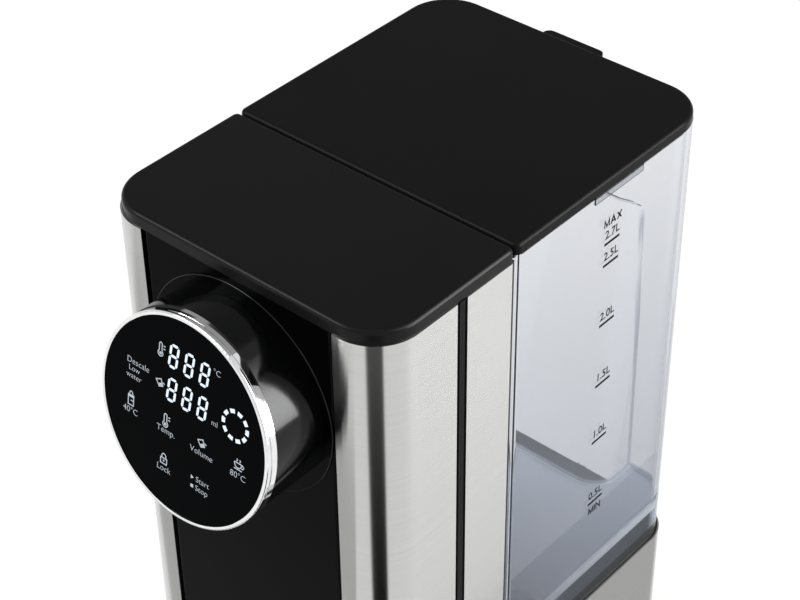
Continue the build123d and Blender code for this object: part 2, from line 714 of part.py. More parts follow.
def light_guide():
    """White diffuser behind the glass, with the wells of the figures and symbols."""
    radius = SLEEVE_R - SLEEVE_T - FIT
    guide = on_face(GUIDE_BACK, GLASS_BACK, radius)
    for row in (-1, 1):
        for column in (-1, 1):
            well = FACE * Pos(column * radius / 3, row * radius / 3, GUIDE_BACK)
            guide = guide - well * extrude(Rectangle(radius / 3, radius / 4), GUIDE_T / 2)
    return guide


def display_board():
    """Round circuit board behind the light guide, with the cable's connector on its back."""
    board = on_face(BOARD_BACK, GUIDE_BACK, SLEEVE_R - SLEEVE_T - FIT)
    plug = FACE * Pos(SOCKET_X, 0, BOARD_BACK - PLUG_H) * extrude(Rectangle(4 * CABLE_R, 4 * CABLE_R), PLUG_H)
    return board + plug


# Spout

def spout():
    """Outlet under the head: an elbow with a hose barb to the rear and a foot on the head's flange."""
    body = rod(SPOUT_LOW, SPOUT_HIGH, SPOUT_R)
    inlet = (0, SPOUT_Y + SPOUT_R + BARB_L, SPOUT_INLET_Z)
    heart = (0, SPOUT_Y, SPOUT_INLET_Z)
    flange_front = PANEL_FRONT - FLANGE_T
    sill = HEAD_Z - HEAD_R + HEAD_WALL + FLANGE_T / 2
    foot = block((-SPOUT_R, SPOUT_Y, sill), (SPOUT_R, flange_front, sill + FLANGE_T / 2))
    body = body + foot + rod(heart, inlet, BARB_R)
    body = body - rod(heart, inlet, BARB_BORE)
    body = body - rod(SPOUT_LOW, (0, SPOUT_Y, SPOUT_INLET_Z + BARB_R), SPOUT_BORE)
    return body - rod(SPOUT_LOW, (0, SPOUT_Y, SPOUT_TIP_Z + TIP_H - TIP_SHOW), TIP_R)


def spout_tip():
    """Steel nozzle ring in the spout's mouth."""
    low = (0, SPOUT_Y, SPOUT_TIP_Z - TIP_SHOW)
    high = (0, SPOUT_Y, SPOUT_TIP_Z + TIP_H - TIP_SHOW)
    return pipe(low, high, TIP_R - RUN, SPOUT_BORE)


# Tank seat and inlet

def tank_recess(grow, low):
    """Grip recess in the tank's rear wall, deeper towards the bottom."""
    half = RECESS_WIDTH / 2 + grow
    top_half = RECESS_TOP_WIDTH / 2 + grow
    high = RECESS_TOP + grow
    rear = TANK_REAR + RECESS_CORNER
    corner = RECESS_CORNER + grow
    bottom = Pos(0, 0, low) * outline(half, TANK_REAR - RECESS_DEPTH - grow, rear, corner)
    top = Pos(0, 0, high) * outline(top_half, TANK_REAR - RECESS_TOP_DEPTH - grow, rear, corner)
    wedge = loft([bottom, top], ruled=True)
    corners = [(-half, low), (half, low), (top_half, high), (-top_half, high)]
    front_view = make_face(Polyline(*corners, close=True))
    front_view = fillet(front_view.vertices().group_by(Axis.Y)[-1], RECESS_ARCH + grow)
    window = Plane.XZ * front_view
    return wedge & (Pos(0, rear, 0) * extrude(window, RECESS_DEPTH + 2 * RECESS_CORNER + grow))


def tank_inner(shrink):
    """Plan of the tank's inside, shrunk by a clearance."""
    inset = TANK_T + shrink
    front_corner = max(TANK_FRONT_CORNER - inset, 0)
    return outline(TANK_HALF - inset, TANK_FRONT + inset, TANK_REAR - inset, front_corner,
                   TANK_REAR_CORNER - inset)


def notch(grow):
    """Plan of the recess at its deepest, for what stands inside the tank's skirt."""
    return outline(RECESS_WIDTH / 2 + grow, TANK_REAR - RECESS_DEPTH - grow, TANK_REAR + RECESS_CORNER,
                   RECESS_CORNER)


def tank_seat():
    """Collar that the tank stands on, with a platform inside the tank's skirt and a well for the inlet."""
    seat_front = COLUMN_REAR + FIT
    flange = prism(outline(FRAME_HALF, seat_front, PAN_REAR, 0, PAN_REAR_CORNER), SEAT_Z, BASE_TOP)
    collar = prism(outline(TANK_HALF, seat_front, TANK_REAR, 0, TANK_REAR_CORNER), BASE_TOP, COLLAR_TOP)
    grow = TANK_T + SEAT_CLEAR
    platform = prism(tank_inner(SEAT_CLEAR) - notch(grow), COLLAR_TOP, PLATFORM_TOP)
    hollow = prism(tank_inner(SEAT_CLEAR + WALL) - notch(grow + WALL), SEAT_Z, PLATFORM_TOP - WALL)
    seat = flange + collar + platform - hollow
    axis_low = (VALVE_X, VALVE_Y, WELL_Z - WELL_FLOOR)
    seat = seat + rod(axis_low, (VALVE_X, VALVE_Y, PLATFORM_TOP), WELL_R + WALL)
    seat = seat - rod((VALVE_X, VALVE_Y, WELL_Z), (VALVE_X, VALVE_Y, PLATFORM_TOP), WELL_R)
    seat = seat - rod(axis_low, (VALVE_X, VALVE_Y, WELL_Z), SOCKET_R + FIT)
    for x, y in seat_boss_points():
        seat = seat + rod((x, y, POST_TOP), (x, y, COLLAR_TOP), BOSS_R)
        seat = seat - rod((x, y, POST_TOP), (x, y, POST_TOP + 3 * PAN_T), SCREW_R + FIT)
    return seat


def inlet_socket():
    """Cup in the seat that takes the tank's valve, with the pin that lifts the stem."""
    def at(z):
        return (VALVE_X, VALVE_Y, z)

    cup = rod(at(SOCKET_BOTTOM), at(SOCKET_TOP), SOCKET_R)
    cup = cup + rod(at(WELL_Z), at(SOCKET_TOP), SOCKET_R + SOCKET_FLANGE)
    cup = cup - rod(at(SOCKET_FLOOR_Z), at(SOCKET_TOP), VALVE_R + SLIDE)
    cup = cup + rod(at(SOCKET_BOTTOM - BARB_L), at(SOCKET_BOTTOM), BARB_R)
    cup = cup + rod(at(SOCKET_FLOOR_Z), at(NOSE_Z), SOCKET_PIN_R)
    cup = cup - rod(at(SOCKET_BOTTOM - BARB_L), at(SOCKET_BOTTOM), BARB_BORE)
    for side in (-1, 1):
        x = VALVE_X + side * (SOCKET_PIN_R + BARB_BORE)
        cup = cup - rod((x, VALVE_Y, SOCKET_BOTTOM), (x, VALVE_Y, SOCKET_FLOOR_Z), BARB_BORE)
    return cup


def inlet_seal():
    """Rubber ring on the socket's rim, round the valve tube."""
    low = (VALVE_X, VALVE_Y, SOCKET_TOP)
    high = (VALVE_X, VALVE_Y, SOCKET_TOP + SEAL_T)
    return pipe(low, high, SOCKET_R, VALVE_R + SLIDE)


# Tank

def tank_shell():
    """Clear tank with a rear grip recess, a skirt below its floor, side ledges and the hinge lug."""
    outer = outline(TANK_HALF, TANK_FRONT, TANK_REAR, TANK_FRONT_CORNER, TANK_REAR_CORNER)
    low = COLLAR_TOP - FLOOR_T
    shell = prism(outer, COLLAR_TOP, TANK_TOP) - tank_recess(0, low)
    inside = prism(tank_inner(0), low, TANK_TOP) - tank_recess(TANK_T, low)
    floor = prism(outer, FLOOR_UNDER, FLOOR_TOP)
    shell = shell - (inside - floor)
    grip_y = (TANK_FRONT + TANK_REAR) / 2 + GRIP_SHIFT
    grip = block((TANK_HALF - TANK_T / 2, grip_y - GRIP_LENGTH / 2, TANK_TOP - GRIP_H),
                 (TANK_HALF + GRIP_REACH, grip_y + GRIP_LENGTH / 2, TANK_TOP))
    shell = join([shell] + both_sides(grip) + [hinge_lug()])
    return shell - rod((VALVE_X, VALVE_Y, FLOOR_UNDER), (VALVE_X, VALVE_Y, FLOOR_TOP), VALVE_R + FIT)


def hinge_lug():
    """Lug on the rear rim of the tank that holds the lid's pin."""
    wall = TANK_REAR - TANK_T / 2
    back = HINGE_Y + BARREL_R
    side = make_face(Polyline((wall, TANK_TOP - 2 * PIN_DROP), (TANK_REAR, TANK_TOP - 2 * PIN_DROP),
                              (back, HINGE_Z - BARREL_R), (back, HINGE_Z), (HINGE_Y - BARREL_R, HINGE_Z),
                              (wall, TANK_TOP), close=True))
    web = extrude(Plane.YZ * side, LUG_WIDTH / 2, both=True)
    ends = ((-LUG_WIDTH / 2, HINGE_Y, HINGE_Z), (LUG_WIDTH / 2, HINGE_Y, HINGE_Z))
    return web + rod(*ends, BARREL_R) - rod(*ends, PIN_R + RUN / 2)


def hinge_pin():
    """Steel pin through the tank's lug and the lid's hood."""
    half = HOOD_WIDTH / 2 - 1.5 * PIN_R
    return rod((-half, HINGE_Y, HINGE_Z), (half, HINGE_Y, HINGE_Z), PIN_R)


# Tank valve

def on_valve(low, high, radius):
    """Round bar on the valve's axis."""
    return rod((VALVE_X, VALVE_Y, low), (VALVE_X, VALVE_Y, high), radius)


def valve_body():
    """Valve tube through the tank's floor: a seat at the bottom and a guide bridge at the top."""
    body = on_valve(VALVE_BOTTOM, VALVE_TOP, VALVE_R) + on_valve(FLANGE_Z, VALVE_TOP, VALVE_FLANGE_R)
    body = body - on_valve(VALVE_SEAT, VALVE_TOP, VALVE_BORE) - on_valve(VALVE_BOTTOM, VALVE_SEAT, VALVE_HOLE)
    reach = VALVE_BORE + FIT
    bridge = block((VALVE_X - reach, VALVE_Y - STEM_R, FLANGE_Z),
                   (VALVE_X + reach, VALVE_Y + STEM_R, VALVE_TOP))
    hub = on_valve(FLANGE_Z, VALVE_TOP, 2 * STEM_R)
    return body + bridge + hub - on_valve(FLANGE_Z, VALVE_TOP, STEM_R + RUN)


def valve_gasket():
    """Flat rubber ring between the valve's flange and the tank's floor."""
    return on_valve(FLOOR_TOP, FLANGE_Z, VALVE_FLANGE_R) - on_valve(FLOOR_TOP, FLANGE_Z, VALVE_R + FIT)


def valve_nut():
    """Ring nut under the tank's floor."""
    nut = Pos(VALVE_X, VALVE_Y, FLOOR_UNDER - NUT_H) * extrude(RegularPolygon(VALVE_FLANGE_R, 6), NUT_H)
    return nut - on_valve(FLOOR_UNDER - NUT_H, FLOOR_UNDER, VALVE_R + FIT)


def valve_stem():
    """Stem with its disc. The socket's pin holds it open while the tank is seated."""
    top = VALVE_TOP + VALVE_LIFT + SEAL_T
    return join([on_valve(NOSE_Z, DISC_Z, NOSE_R), on_valve(DISC_Z, DISC_Z + DISC_T, DISC_R),
                 on_valve(DISC_Z + DISC_T, top, STEM_R)])


def valve_seal():
    """Rubber ring under the stem's disc."""
    return on_valve(DISC_Z - SEAL_T, DISC_Z, DISC_R - FIT) - on_valve(DISC_Z - SEAL_T, DISC_Z, NOSE_R)


def valve_spring():
    """Spring between the disc and the guide bridge."""
    low = DISC_Z + DISC_T + SPRING_WIRE / 2
    height = FLANGE_Z - SPRING_WIRE / 2 - low
    path = Pos(VALVE_X, VALVE_Y, low) * Helix(height / SPRING_TURNS, height, SPRING_R)
    section = Plane(path @ 0, z_dir=path % 0) * Circle(SPRING_WIRE / 2 - RUN)
    return sweep(section, path, is_frenet=True)


def tank_filter():
    """Slotted cap over the valve, on the tank's floor."""
    top = FLOOR_TOP + FILTER_H
    cap = on_valve(FLOOR_TOP, top, FILTER_R) - on_valve(FLOOR_TOP, top - FILTER_T, FILTER_R - FILTER_T)
    slot = block((FILTER_R / 2, -FILTER_T / 2, FLOOR_TOP + FILTER_T),
                 (2 * FILTER_R, FILTER_T / 2, top - 2 * FILTER_T))
    for step in range(FILTER_SLOTS):
        cap = cap - Pos(VALVE_X, VALVE_Y, 0) * Rot(0, 0, step * 360 / FILTER_SLOTS) * slot
    return cap


# Lid

def tank_lid():
    """Lid with an inner rim, and a hood at the rear that carries it on the hinge pin."""
    lid = prism(outline(COVER_HALF, LID_FRONT, LID_REAR, SEAM_CORNER, COVER_CORNER), LID_UNDER, HEIGHT)
    lid = fillet(lid.faces().sort_by(Axis.Z)[-1].edges(), COVER_EDGE)
    hollow = outline(COVER_HALF - COVER_WALL, LID_FRONT + COVER_WALL, LID_REAR - COVER_WALL,
                     SEAM_CORNER - COVER_WALL, COVER_CORNER - COVER_WALL)
    lid = lid - prism(hollow, LID_UNDER, HEIGHT - COVER_WALL)
    rim = tank_inner(SEAT_CLEAR) - tank_inner(SEAT_CLEAR + PLUG_T)
    rim = prism(rim, LID_UNDER - PLUG_DEPTH, HEIGHT - COVER_WALL / 2)
    hood = block((-HOOD_WIDTH / 2, LID_REAR - COVER_WALL, LID_UNDER),
                 (HOOD_WIDTH / 2, LID_REAR + HOOD_REACH, HEIGHT - HOOD_SINK))
    hood = fillet(hood.edges().filter_by(Axis.Z).group_by(Axis.Y)[-1], HOOD_REACH - FIT)
    lower_edges = hood.faces().sort_by(Axis.Z)[0].edges().filter_by(Axis.X)
    hood = fillet(lower_edges.group_by(Axis.Y)[-1], LID_DROP / 4)
    lid = lid + rim + hood
    skin_under = HEIGHT - HOOD_SINK - HOOD_SKIN
    half = LUG_WIDTH / 2 + SLIDE
    slot = block((-half, TANK_REAR - TANK_T - SLIDE, LID_UNDER - PLUG_DEPTH),
                 (half, LID_REAR + 2 * HOOD_REACH, skin_under))
    lid = lid - slot
    return lid - rod((-HOOD_WIDTH / 2, HINGE_Y, HINGE_Z), (HOOD_WIDTH / 2, HINGE_Y, HINGE_Z), PIN_R + RUN)


# Pump

def pump_parts():
    """Motor, pump head, rubber mount, and the shaft with its eccentric."""
    y0 = PUMP_FRONT
    y1 = y0 + PUMP_HEAD_L
    y2 = y1 + MOTOR_L

    def on_axis(low, high, radius, dx=0.0):
        return rod((PUMP_X + dx, low, WATER_Z), (PUMP_X + dx, high, WATER_Z), radius)

    face = PUMP_HEAD_L / 4
    head = on_axis(y0, y1, PUMP_R) - on_axis(y0 + face, y1, PUMP_R - WALL)
    for side in (-1, 1):
        head = head + on_axis(y0 - BARB_L, y0, BARB_R, side * PORT_SPREAD)
        head = head - on_axis(y0 - BARB_L, y0 + face, BARB_BORE, side * PORT_SPREAD)
    motor = on_axis(y1, y2, MOTOR_R)
    motor = fillet(motor.edges().group_by(Axis.Y)[-1], MOTOR_R / 6)
    motor = motor + on_axis(y1, y1 + WALL, PUMP_R) - on_axis(y1, y2 - WALL, SHAFT_R + RUN)
    shaft = on_axis(y0 + face + FIT, y2 - WALL - FIT, SHAFT_R)
    shaft = shaft + on_axis(y0 + 2 * face, y0 + 3 * face, ECCENTRIC_R, ECCENTRIC)
    cradle = block((PUMP_X - MOTOR_R, y1 + 2 * WALL, PAN_TOP),
                   (PUMP_X + MOTOR_R, y2 - 3 * WALL, WATER_Z - WALL))
    cradle = cradle - on_axis(y1, y2, MOTOR_R)
    return {"pump_motor": motor, "pump_head": head, "pump_mount": cradle, "pump_shaft": shaft}


# Flow meter

def meter_parts():
    """Body with two barbs, screwed cap and vaned impeller."""
    top = METER_Z + METER_H

    def on_axis(low, high, radius):
        return rod((METER_X, METER_Y, low), (METER_X, METER_Y, high), radius)

    heart = (METER_X, METER_Y, WATER_Z)
    inlet = (METER_IN + BARB_L, METER_Y, WATER_Z)
    outlet = (METER_X, METER_OUT + BARB_L, WATER_Z)
    floor = METER_Z + 1.5 * METER_WALL
    body = on_axis(METER_Z, top, METER_R) + rod(heart, inlet, BARB_R) + rod(heart, outlet, BARB_R)
    body = body - on_axis(floor, top, METER_R - METER_WALL)
    body = body - rod(heart, inlet, BARB_BORE) - rod(heart, outlet, BARB_BORE)
    body = body - on_axis(floor - METER_WALL, floor, PIVOT_R + RUN)
    cap = on_axis(top, top + METER_CAP, METER_R) - on_axis(top, top + METER_CAP / 2, PIVOT_R + RUN)
    vane_low = floor + METER_WALL / 2
    vane_high = top - METER_WALL / 2
    impeller = on_axis(vane_low, vane_high, 3 * PIVOT_R)
    impeller = impeller + on_axis(floor - METER_WALL + FIT, top + METER_CAP / 2 - FIT, PIVOT_R)
    reach = METER_R - METER_WALL - SLIDE
    vane = block((0, -VANE_T / 2, vane_low), (reach, VANE_T / 2, vane_high))
    for step in range(VANES):
        impeller = impeller + Pos(METER_X, METER_Y, 0) * Rot(0, 0, step * 360 / VANES) * vane
    return {"meter_body": body, "meter_cap": cap, "flow_impeller": impeller}


# Heater

def on_heater(low, high, radius):
    """Round bar on the heater's axis."""
    return rod((HEATER_X, HEATER_Y, low), (HEATER_X, HEATER_Y, high), radius)


def heater_tube():
    """Steel tube that heats the water on its way up."""
    return on_heater(HEATER_Z, HEATER_TOP, HEATER_R) - on_heater(HEATER_Z, HEATER_TOP, HEATER_R - HEATER_WALL)


def heater_caps():
    """Plastic end caps with hose barbs, and a hole for the sensor in the upper one."""
    socket = HEATER_R + FIT
    lower = on_heater(CAP_LOW, CAP_LOW + CAP_H, CAP_R) + on_heater(CAP_LOW - BARB_L, CAP_LOW, BARB_R)
    lower = lower - on_heater(HEATER_Z, CAP_LOW + CAP_H, socket)
    lower = lower - on_heater(CAP_LOW - BARB_L, HEATER_Z, BARB_BORE)
    upper = on_heater(CAP_HIGH - CAP_H, CAP_HIGH, CAP_R) + on_heater(CAP_HIGH, CAP_HIGH + BARB_L, BARB_R)
    upper = upper - on_heater(CAP_HIGH - CAP_H, HEATER_TOP, socket)
    upper = upper - on_heater(HEATER_TOP, CAP_HIGH + BARB_L, BARB_BORE)
    mouth = (HEATER_X + CAP_R, HEATER_Y, SENSOR_Z)
    upper = upper - rod((HEATER_X, HEATER_Y, SENSOR_Z), mouth, SENSOR_R + FIT)
    return group([lower, upper])


def heater_bracket():
    """Sheet metal bracket on the column's rear wall, with two arms round the heater."""
    low = HEATER_Z + CAP_H
    high = HEATER_TOP - CAP_H
    left = HEATER_X - BRACKET_WIDTH / 2
    right = HEATER_X + BRACKET_WIDTH / 2
    bracket = block((left, FRAME_REAR - BRACKET_T, low), (right, FRAME_REAR, high))
    for z in (low, high - BRACKET_T):
        arm = block((left, HEATER_Y, z), (right, FRAME_REAR, z + BRACKET_T))
        eye = on_heater(z, z + BRACKET_T, CAP_R)
        bracket = bracket + arm + eye - on_heater(z, z + BRACKET_T, HEATER_R + FIT)
    return bracket


def thermal_cutouts():
    """Two cut-out switches on saddles against the heater tube."""
    switches = []
    for share in (1, 2):
        z = HEATER_Z + CAP_H + share * (HEATER_L - 2 * CAP_H) / 3
        seat = HEATER_X + HEATER_R
        saddle = block((HEATER_X, HEATER_Y - CUTOUT_R, z - CUTOUT_R),
                       (seat + FIT, HEATER_Y + CUTOUT_R, z + CUTOUT_R))
        saddle = saddle - on_heater(z - CUTOUT_R, z + CUTOUT_R, HEATER_R + FIT / 2)
        can = rod((seat, HEATER_Y, z), (seat + CUTOUT_R, HEATER_Y, z), CUTOUT_R)
        can = can - on_heater(z - CUTOUT_R, z + CUTOUT_R, HEATER_R + FIT / 2)
        switches.append(saddle + can)
    return group(switches)


def temperature_sensor():
    """Probe in the upper cap's side."""
    start = (HEATER_X + BARB_BORE + FIT, HEATER_Y, SENSOR_Z)
    mouth = (HEATER_X + CAP_R, HEATER_Y, SENSOR_Z)
    end = (HEATER_X + CAP_R + 2 * SENSOR_R, HEATER_Y, SENSOR_Z)
    return rod(start, end, SENSOR_R) + rod(mouth, end, 1.5 * SENSOR_R)


# Hoses

def hose(points, bend):
    """Hollow hose along a route."""
    return bent_tube(points, HOSE_R, bend) - bent_tube(points, HOSE_BORE, bend)


def hose_tank():
    """From the inlet socket down, forward and across to the flow meter."""
    foot = (VALVE_X, VALVE_Y, WATER_Z)
    turn = (VALVE_X, METER_Y, WATER_Z)
    return hose([(VALVE_X, VALVE_Y, SOCKET_BOTTOM), foot, turn, (METER_IN, METER_Y, WATER_Z)], TANK_HOSE_BEND)


def hose_meter():
    """Straight piece from the flow meter to the pump's inlet."""
    return pipe((METER_X, METER_OUT, WATER_Z), (METER_X, PUMP_FRONT, WATER_Z), HOSE_R, HOSE_BORE)


def hose_pump():
    """From the pump's outlet forward and up to the heater."""
    corner = (HEATER_X, HEATER_Y, WATER_Z)
    return hose([(HEATER_X, PUMP_FRONT, WATER_Z), corner, (HEATER_X, HEATER_Y, CAP_LOW)], HOSE_BEND)


def hose_outlet():
    """From the top of the heater across to the spout."""
    up = (HEATER_X, HEATER_Y, SPOUT_INLET_Z)
    across = (0, HEATER_Y, SPOUT_INLET_Z)
    return hose([(HEATER_X, HEATER_Y, CAP_HIGH), up, across, (0, SPOUT_BACK, SPOUT_INLET_Z)], HOSE_BEND)


def hose_clips():
    """Clip rings over the barbs."""
    near = BARB_L / 2 - CLIP_W / 2
    far = near + CLIP_W
    ends = [((VALVE_X, VALVE_Y, SOCKET_BOTTOM), (0, 0, -1)), ((METER_IN, METER_Y, WATER_Z), (1, 0, 0)),
            ((METER_X, METER_OUT, WATER_Z), (0, 1, 0)), ((METER_X, PUMP_FRONT, WATER_Z), (0, -1, 0)),
            ((HEATER_X, PUMP_FRONT, WATER_Z), (0, -1, 0)), ((HEATER_X, HEATER_Y, CAP_LOW), (0, 0, -1)),
            ((HEATER_X, HEATER_Y, CAP_HIGH), (0, 0, 1)), ((0, SPOUT_BACK, SPOUT_INLET_Z), (0, 1, 0))]
    clips = []
    for point, way in ends:
        start = Vector(*point) + Vector(*way) * near
        end = Vector(*point) + Vector(*way) * far
        clips.append(pipe(start, end, HOSE_R + CLIP_T, HOSE_R + FIT / 2))
    return group(clips)


# Electrics

def power_board():
    """Power board on the pan's standoffs."""
    board = block((PCB_X - PCB_WIDTH / 2, PCB_Y - PCB_LENGTH / 2, PCB_Z),
                  (PCB_X + PCB_WIDTH / 2, PCB_Y + PCB_LENGTH / 2, PCB_TOP))
    for x, y in pcb_points():
        board = board - rod((x, y, PCB_Z), (x, y, PCB_TOP), SCREW_R + FIT)
    return board


def on_board(x, y, width, length, height):
    """Rectangular component on the power board, about a point from the board's middle."""
    low = (PCB_X + x - width / 2, PCB_Y + y - length / 2, PCB_TOP)
    high = (PCB_X + x + width / 2, PCB_Y + y + length / 2, PCB_TOP + height)
    return block(low, high)


def board_components():
    """Transformer, relay, capacitor, finned heat sink and the cable's socket."""
    transformer = on_board(COMPONENT_PITCH, COMPONENT_PITCH, TRANSFORMER, TRANSFORMER, COMPONENT_H)
    relay = on_board(-COMPONENT_PITCH, COMPONENT_PITCH, RELAY_WIDTH, TRANSFORMER, RELAY_H)
    socket = on_board(SOCKET_X - PCB_X, SOCKET_Y - PCB_Y, 6 * CABLE_R, 4 * CABLE_R, 4 * CABLE_R)
    foot = (PCB_X, PCB_Y - COMPONENT_PITCH / 2, PCB_TOP)
    capacitor = rod(foot, (foot[0], foot[1], PCB_TOP + COMPONENT_H), CAPACITOR_R)
    sink = [on_board(COMPONENT_PITCH, -COMPONENT_PITCH, SINK_WIDTH, RELAY_WIDTH, 2 * FIN_T)]
    for step in (-1, 0, 1):
        x = COMPONENT_PITCH + step * (SINK_WIDTH - FIN_T) / 2
        sink.append(on_board(x, -COMPONENT_PITCH, FIN_T, RELAY_WIDTH, COMPONENT_H))
    return group([transformer, relay, socket, capacitor, join(sink)])


def board_screws():
    """Screws of the power board."""
    drive = PCB_T + STANDOFF_H / 2
    return group([screw((x, y, PCB_TOP), (0, 0, -drive)) for x, y in pcb_points()])


def display_cable():
    """Cable from the power board's socket, up the column, to the display board's plug."""
    depth = BOARD_BACK - PLUG_H
    plug_y = FRONT - HEAD_REACH - depth * cos(radians(HEAD_TILT)) + CABLE_R * sin(radians(HEAD_TILT)) + FIT
    plug_z = HEAD_Z + depth * sin(radians(HEAD_TILT))
    socket_z = PCB_TOP + 2 * CABLE_R
    start = (SOCKET_X, SOCKET_Y - 2 * CABLE_R, socket_z)
    turn = (SOCKET_X, HEATER_Y, socket_z)
    rise = (SOCKET_X, HEATER_Y, plug_z)
    return bent_tube([start, turn, rise, (SOCKET_X, plug_y, plug_z)], CABLE_R, HOSE_BEND)


def mains_gland():
    """Cord gland through the base's rear wall."""
    inner = PAN_REAR + SKIN_T + FIT - GLAND_L + GLAND_FLANGE_T
    outer = SKIN_REAR + GLAND_FLANGE_T

    def on_axis(low, high, radius):
        return rod((GLAND_X, low, GLAND_Z), (GLAND_X, high, GLAND_Z), radius)

    gland = on_axis(inner, SKIN_REAR, GLAND_R) + on_axis(SKIN_REAR, outer, GLAND_FLANGE_R)
    nut = on_axis(PAN_REAR - 3 * WALL, PAN_REAR - WALL, GLAND_FLANGE_R)
    return gland + nut - on_axis(inner, outer, CORD_R)


# Drip tray

def tray_plan(inset):
    """Plan of the tray, shrunk by an inset."""
    return outline(COVER_HALF - inset, TOE_FRONT + inset, TRAY_REAR - inset,
                   COVER_CORNER - inset, max(SEAM_CORNER - inset, 0))


def drip_tray():
    """Basin in front of the column, with a ledge for the grid and grooves over the pan's rails."""
    floor = TRAY_Z + RAIL_H + SLIDE + TRAY_WALL
    tray = prism(tray_plan(0), TRAY_Z, TRAY_TOP)
    tray = tray - prism(tray_plan(TRAY_WALL), LEDGE_Z, TRAY_TOP)
    tray = tray - prism(tray_plan(TRAY_WALL + TRAY_LEDGE), floor, TRAY_TOP)
    groove = block((RAIL_X - SLIDE, TOE_FRONT + FRAME_CORNER - SLIDE, TRAY_Z),
                   (RAIL_X + RAIL_W + SLIDE, TRAY_REAR, TRAY_Z + RAIL_H + SLIDE))
    for cut in both_sides(groove):
        tray = tray - cut
    return fillet(tray.faces().sort_by(Axis.Z)[-1].outer_wire().edges(), TRAY_WALL / 4)


def drip_grid():
    """Steel grid plate with rows of slots."""
    inset = TRAY_WALL + SLIDE
    grid = prism(tray_plan(inset), LEDGE_Z, LEDGE_Z + GRID_T)
    margin = TRAY_WALL + TRAY_LEDGE + SLOT_W
    count = int((COVER_HALF - COVER_CORNER) // SLOT_PITCH)
    length = TRAY_REAR - TOE_FRONT - 2 * margin
    middle = (TRAY_REAR + TOE_FRONT) / 2
    slot = SlotOverall(length, SLOT_W, rotation=90)
    for step in range(-count, count + 1):
        grid = grid - prism(Pos(step * SLOT_PITCH, middle) * slot, LEDGE_Z, LEDGE_Z + GRID_T)
    return grid


# Every node of the assembly

right_skin, left_skin = both_sides(front_skin())
right_strip, left_strip = both_sides(side_strip())
nodes = {
    "base_pan": base_pan(), "base_wall": base_wall(), "rubber_feet": rubber_feet(),
    "base_screws": base_screws(),
    "front_skin_right": right_skin, "front_skin_left": left_skin, "rear_skin": rear_skin(),
    "side_strip_right": right_strip, "side_strip_left": left_strip,
    "column_frame": column_frame(), "column_back": column_back(), "back_screws": back_screws(),
    "front_panel": front_panel(), "panel_screws": panel_screws(), "front_cover": front_cover(),
    "head_shell": head_shell(), "head_screws": head_screws(), "bezel_ring": bezel_ring(),
    "display_glass": display_glass(), "light_guide": light_guide(), "display_board": display_board(),
    "spout": spout(), "spout_tip": spout_tip(),
    "tank_seat": tank_seat(), "inlet_socket": inlet_socket(), "inlet_seal": inlet_seal(),
    "tank_shell": tank_shell(), "hinge_pin": hinge_pin(), "tank_lid": tank_lid(),
    "valve_body": valve_body(), "valve_gasket": valve_gasket(), "valve_nut": valve_nut(),
    "valve_stem": valve_stem(), "valve_seal": valve_seal(), "valve_spring": valve_spring(),
    "tank_filter": tank_filter(),
    "heater_tube": heater_tube(), "heater_caps": heater_caps(), "heater_bracket": heater_bracket(),
    "thermal_cutouts": thermal_cutouts(), "temperature_sensor": temperature_sensor(),
    "hose_tank": hose_tank(), "hose_meter": hose_meter(), "hose_pump": hose_pump(),
    "hose_outlet": hose_outlet(), "hose_clips": hose_clips(),
    "power_board": power_board(), "board_components": board_components(), "board_screws": board_screws(),
    "display_cable": display_cable(), "mains_gland": mains_gland(),
    "drip_tray": drip_tray(), "drip_grid": drip_grid(),
}
nodes.update(pump_parts())
nodes.update(meter_parts())

os.makedirs("parts", exist_ok=True)
for name, shape in nodes.items():
    export_step(shape, f"parts/{name}.step")
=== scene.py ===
"""Looks of the hot water dispenser: finishes of every piece, the lit display, the tank's marks,
studio light and the camera. Metres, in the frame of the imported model."""

import json
from math import cos, radians, sin

import bmesh
import bpy
from mathutils import Matrix, Vector


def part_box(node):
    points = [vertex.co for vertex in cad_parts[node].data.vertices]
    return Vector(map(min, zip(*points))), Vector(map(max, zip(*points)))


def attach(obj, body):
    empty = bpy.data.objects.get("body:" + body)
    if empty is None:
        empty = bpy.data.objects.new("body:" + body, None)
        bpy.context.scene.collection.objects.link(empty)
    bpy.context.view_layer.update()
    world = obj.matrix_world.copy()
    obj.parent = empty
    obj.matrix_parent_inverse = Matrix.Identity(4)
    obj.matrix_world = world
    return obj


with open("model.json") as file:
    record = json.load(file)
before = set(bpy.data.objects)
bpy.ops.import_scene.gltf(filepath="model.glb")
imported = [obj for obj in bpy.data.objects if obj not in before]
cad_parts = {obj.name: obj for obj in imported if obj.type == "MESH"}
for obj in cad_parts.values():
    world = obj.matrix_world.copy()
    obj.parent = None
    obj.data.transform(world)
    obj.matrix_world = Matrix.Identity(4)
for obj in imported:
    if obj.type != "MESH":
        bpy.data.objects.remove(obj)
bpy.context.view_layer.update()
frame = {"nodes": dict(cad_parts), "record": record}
nodes = frame["nodes"]
scene = bpy.context.scene

MM = 0.001

# Camera, fitted to the edges of the covers and the columns, angles in degrees
CAMERA_PLACE = (0.4543, -0.4921, 0.7879)
CAMERA_AZIMUTH = 40.814
CAMERA_ELEVATION = 38.069
CAMERA_ROLL = -0.443
LENS_MM = 91.42
SENSOR_MM = 36.0
SHIFT_X = -0.0199
SHIFT_Y = -0.0096
CLIP_END = 50

# Display glass
HEAD_TILT = radians(10.4)
GLASS_HALF_T = 1.0 * MM
PRINT_T = 0.05 * MM
RIM_T = 1.5 * MM              # the head's rim stands less than this off the panel
RIM_NORMAL_Y = -0.9           # faces whose normal has less than this along y look to the front

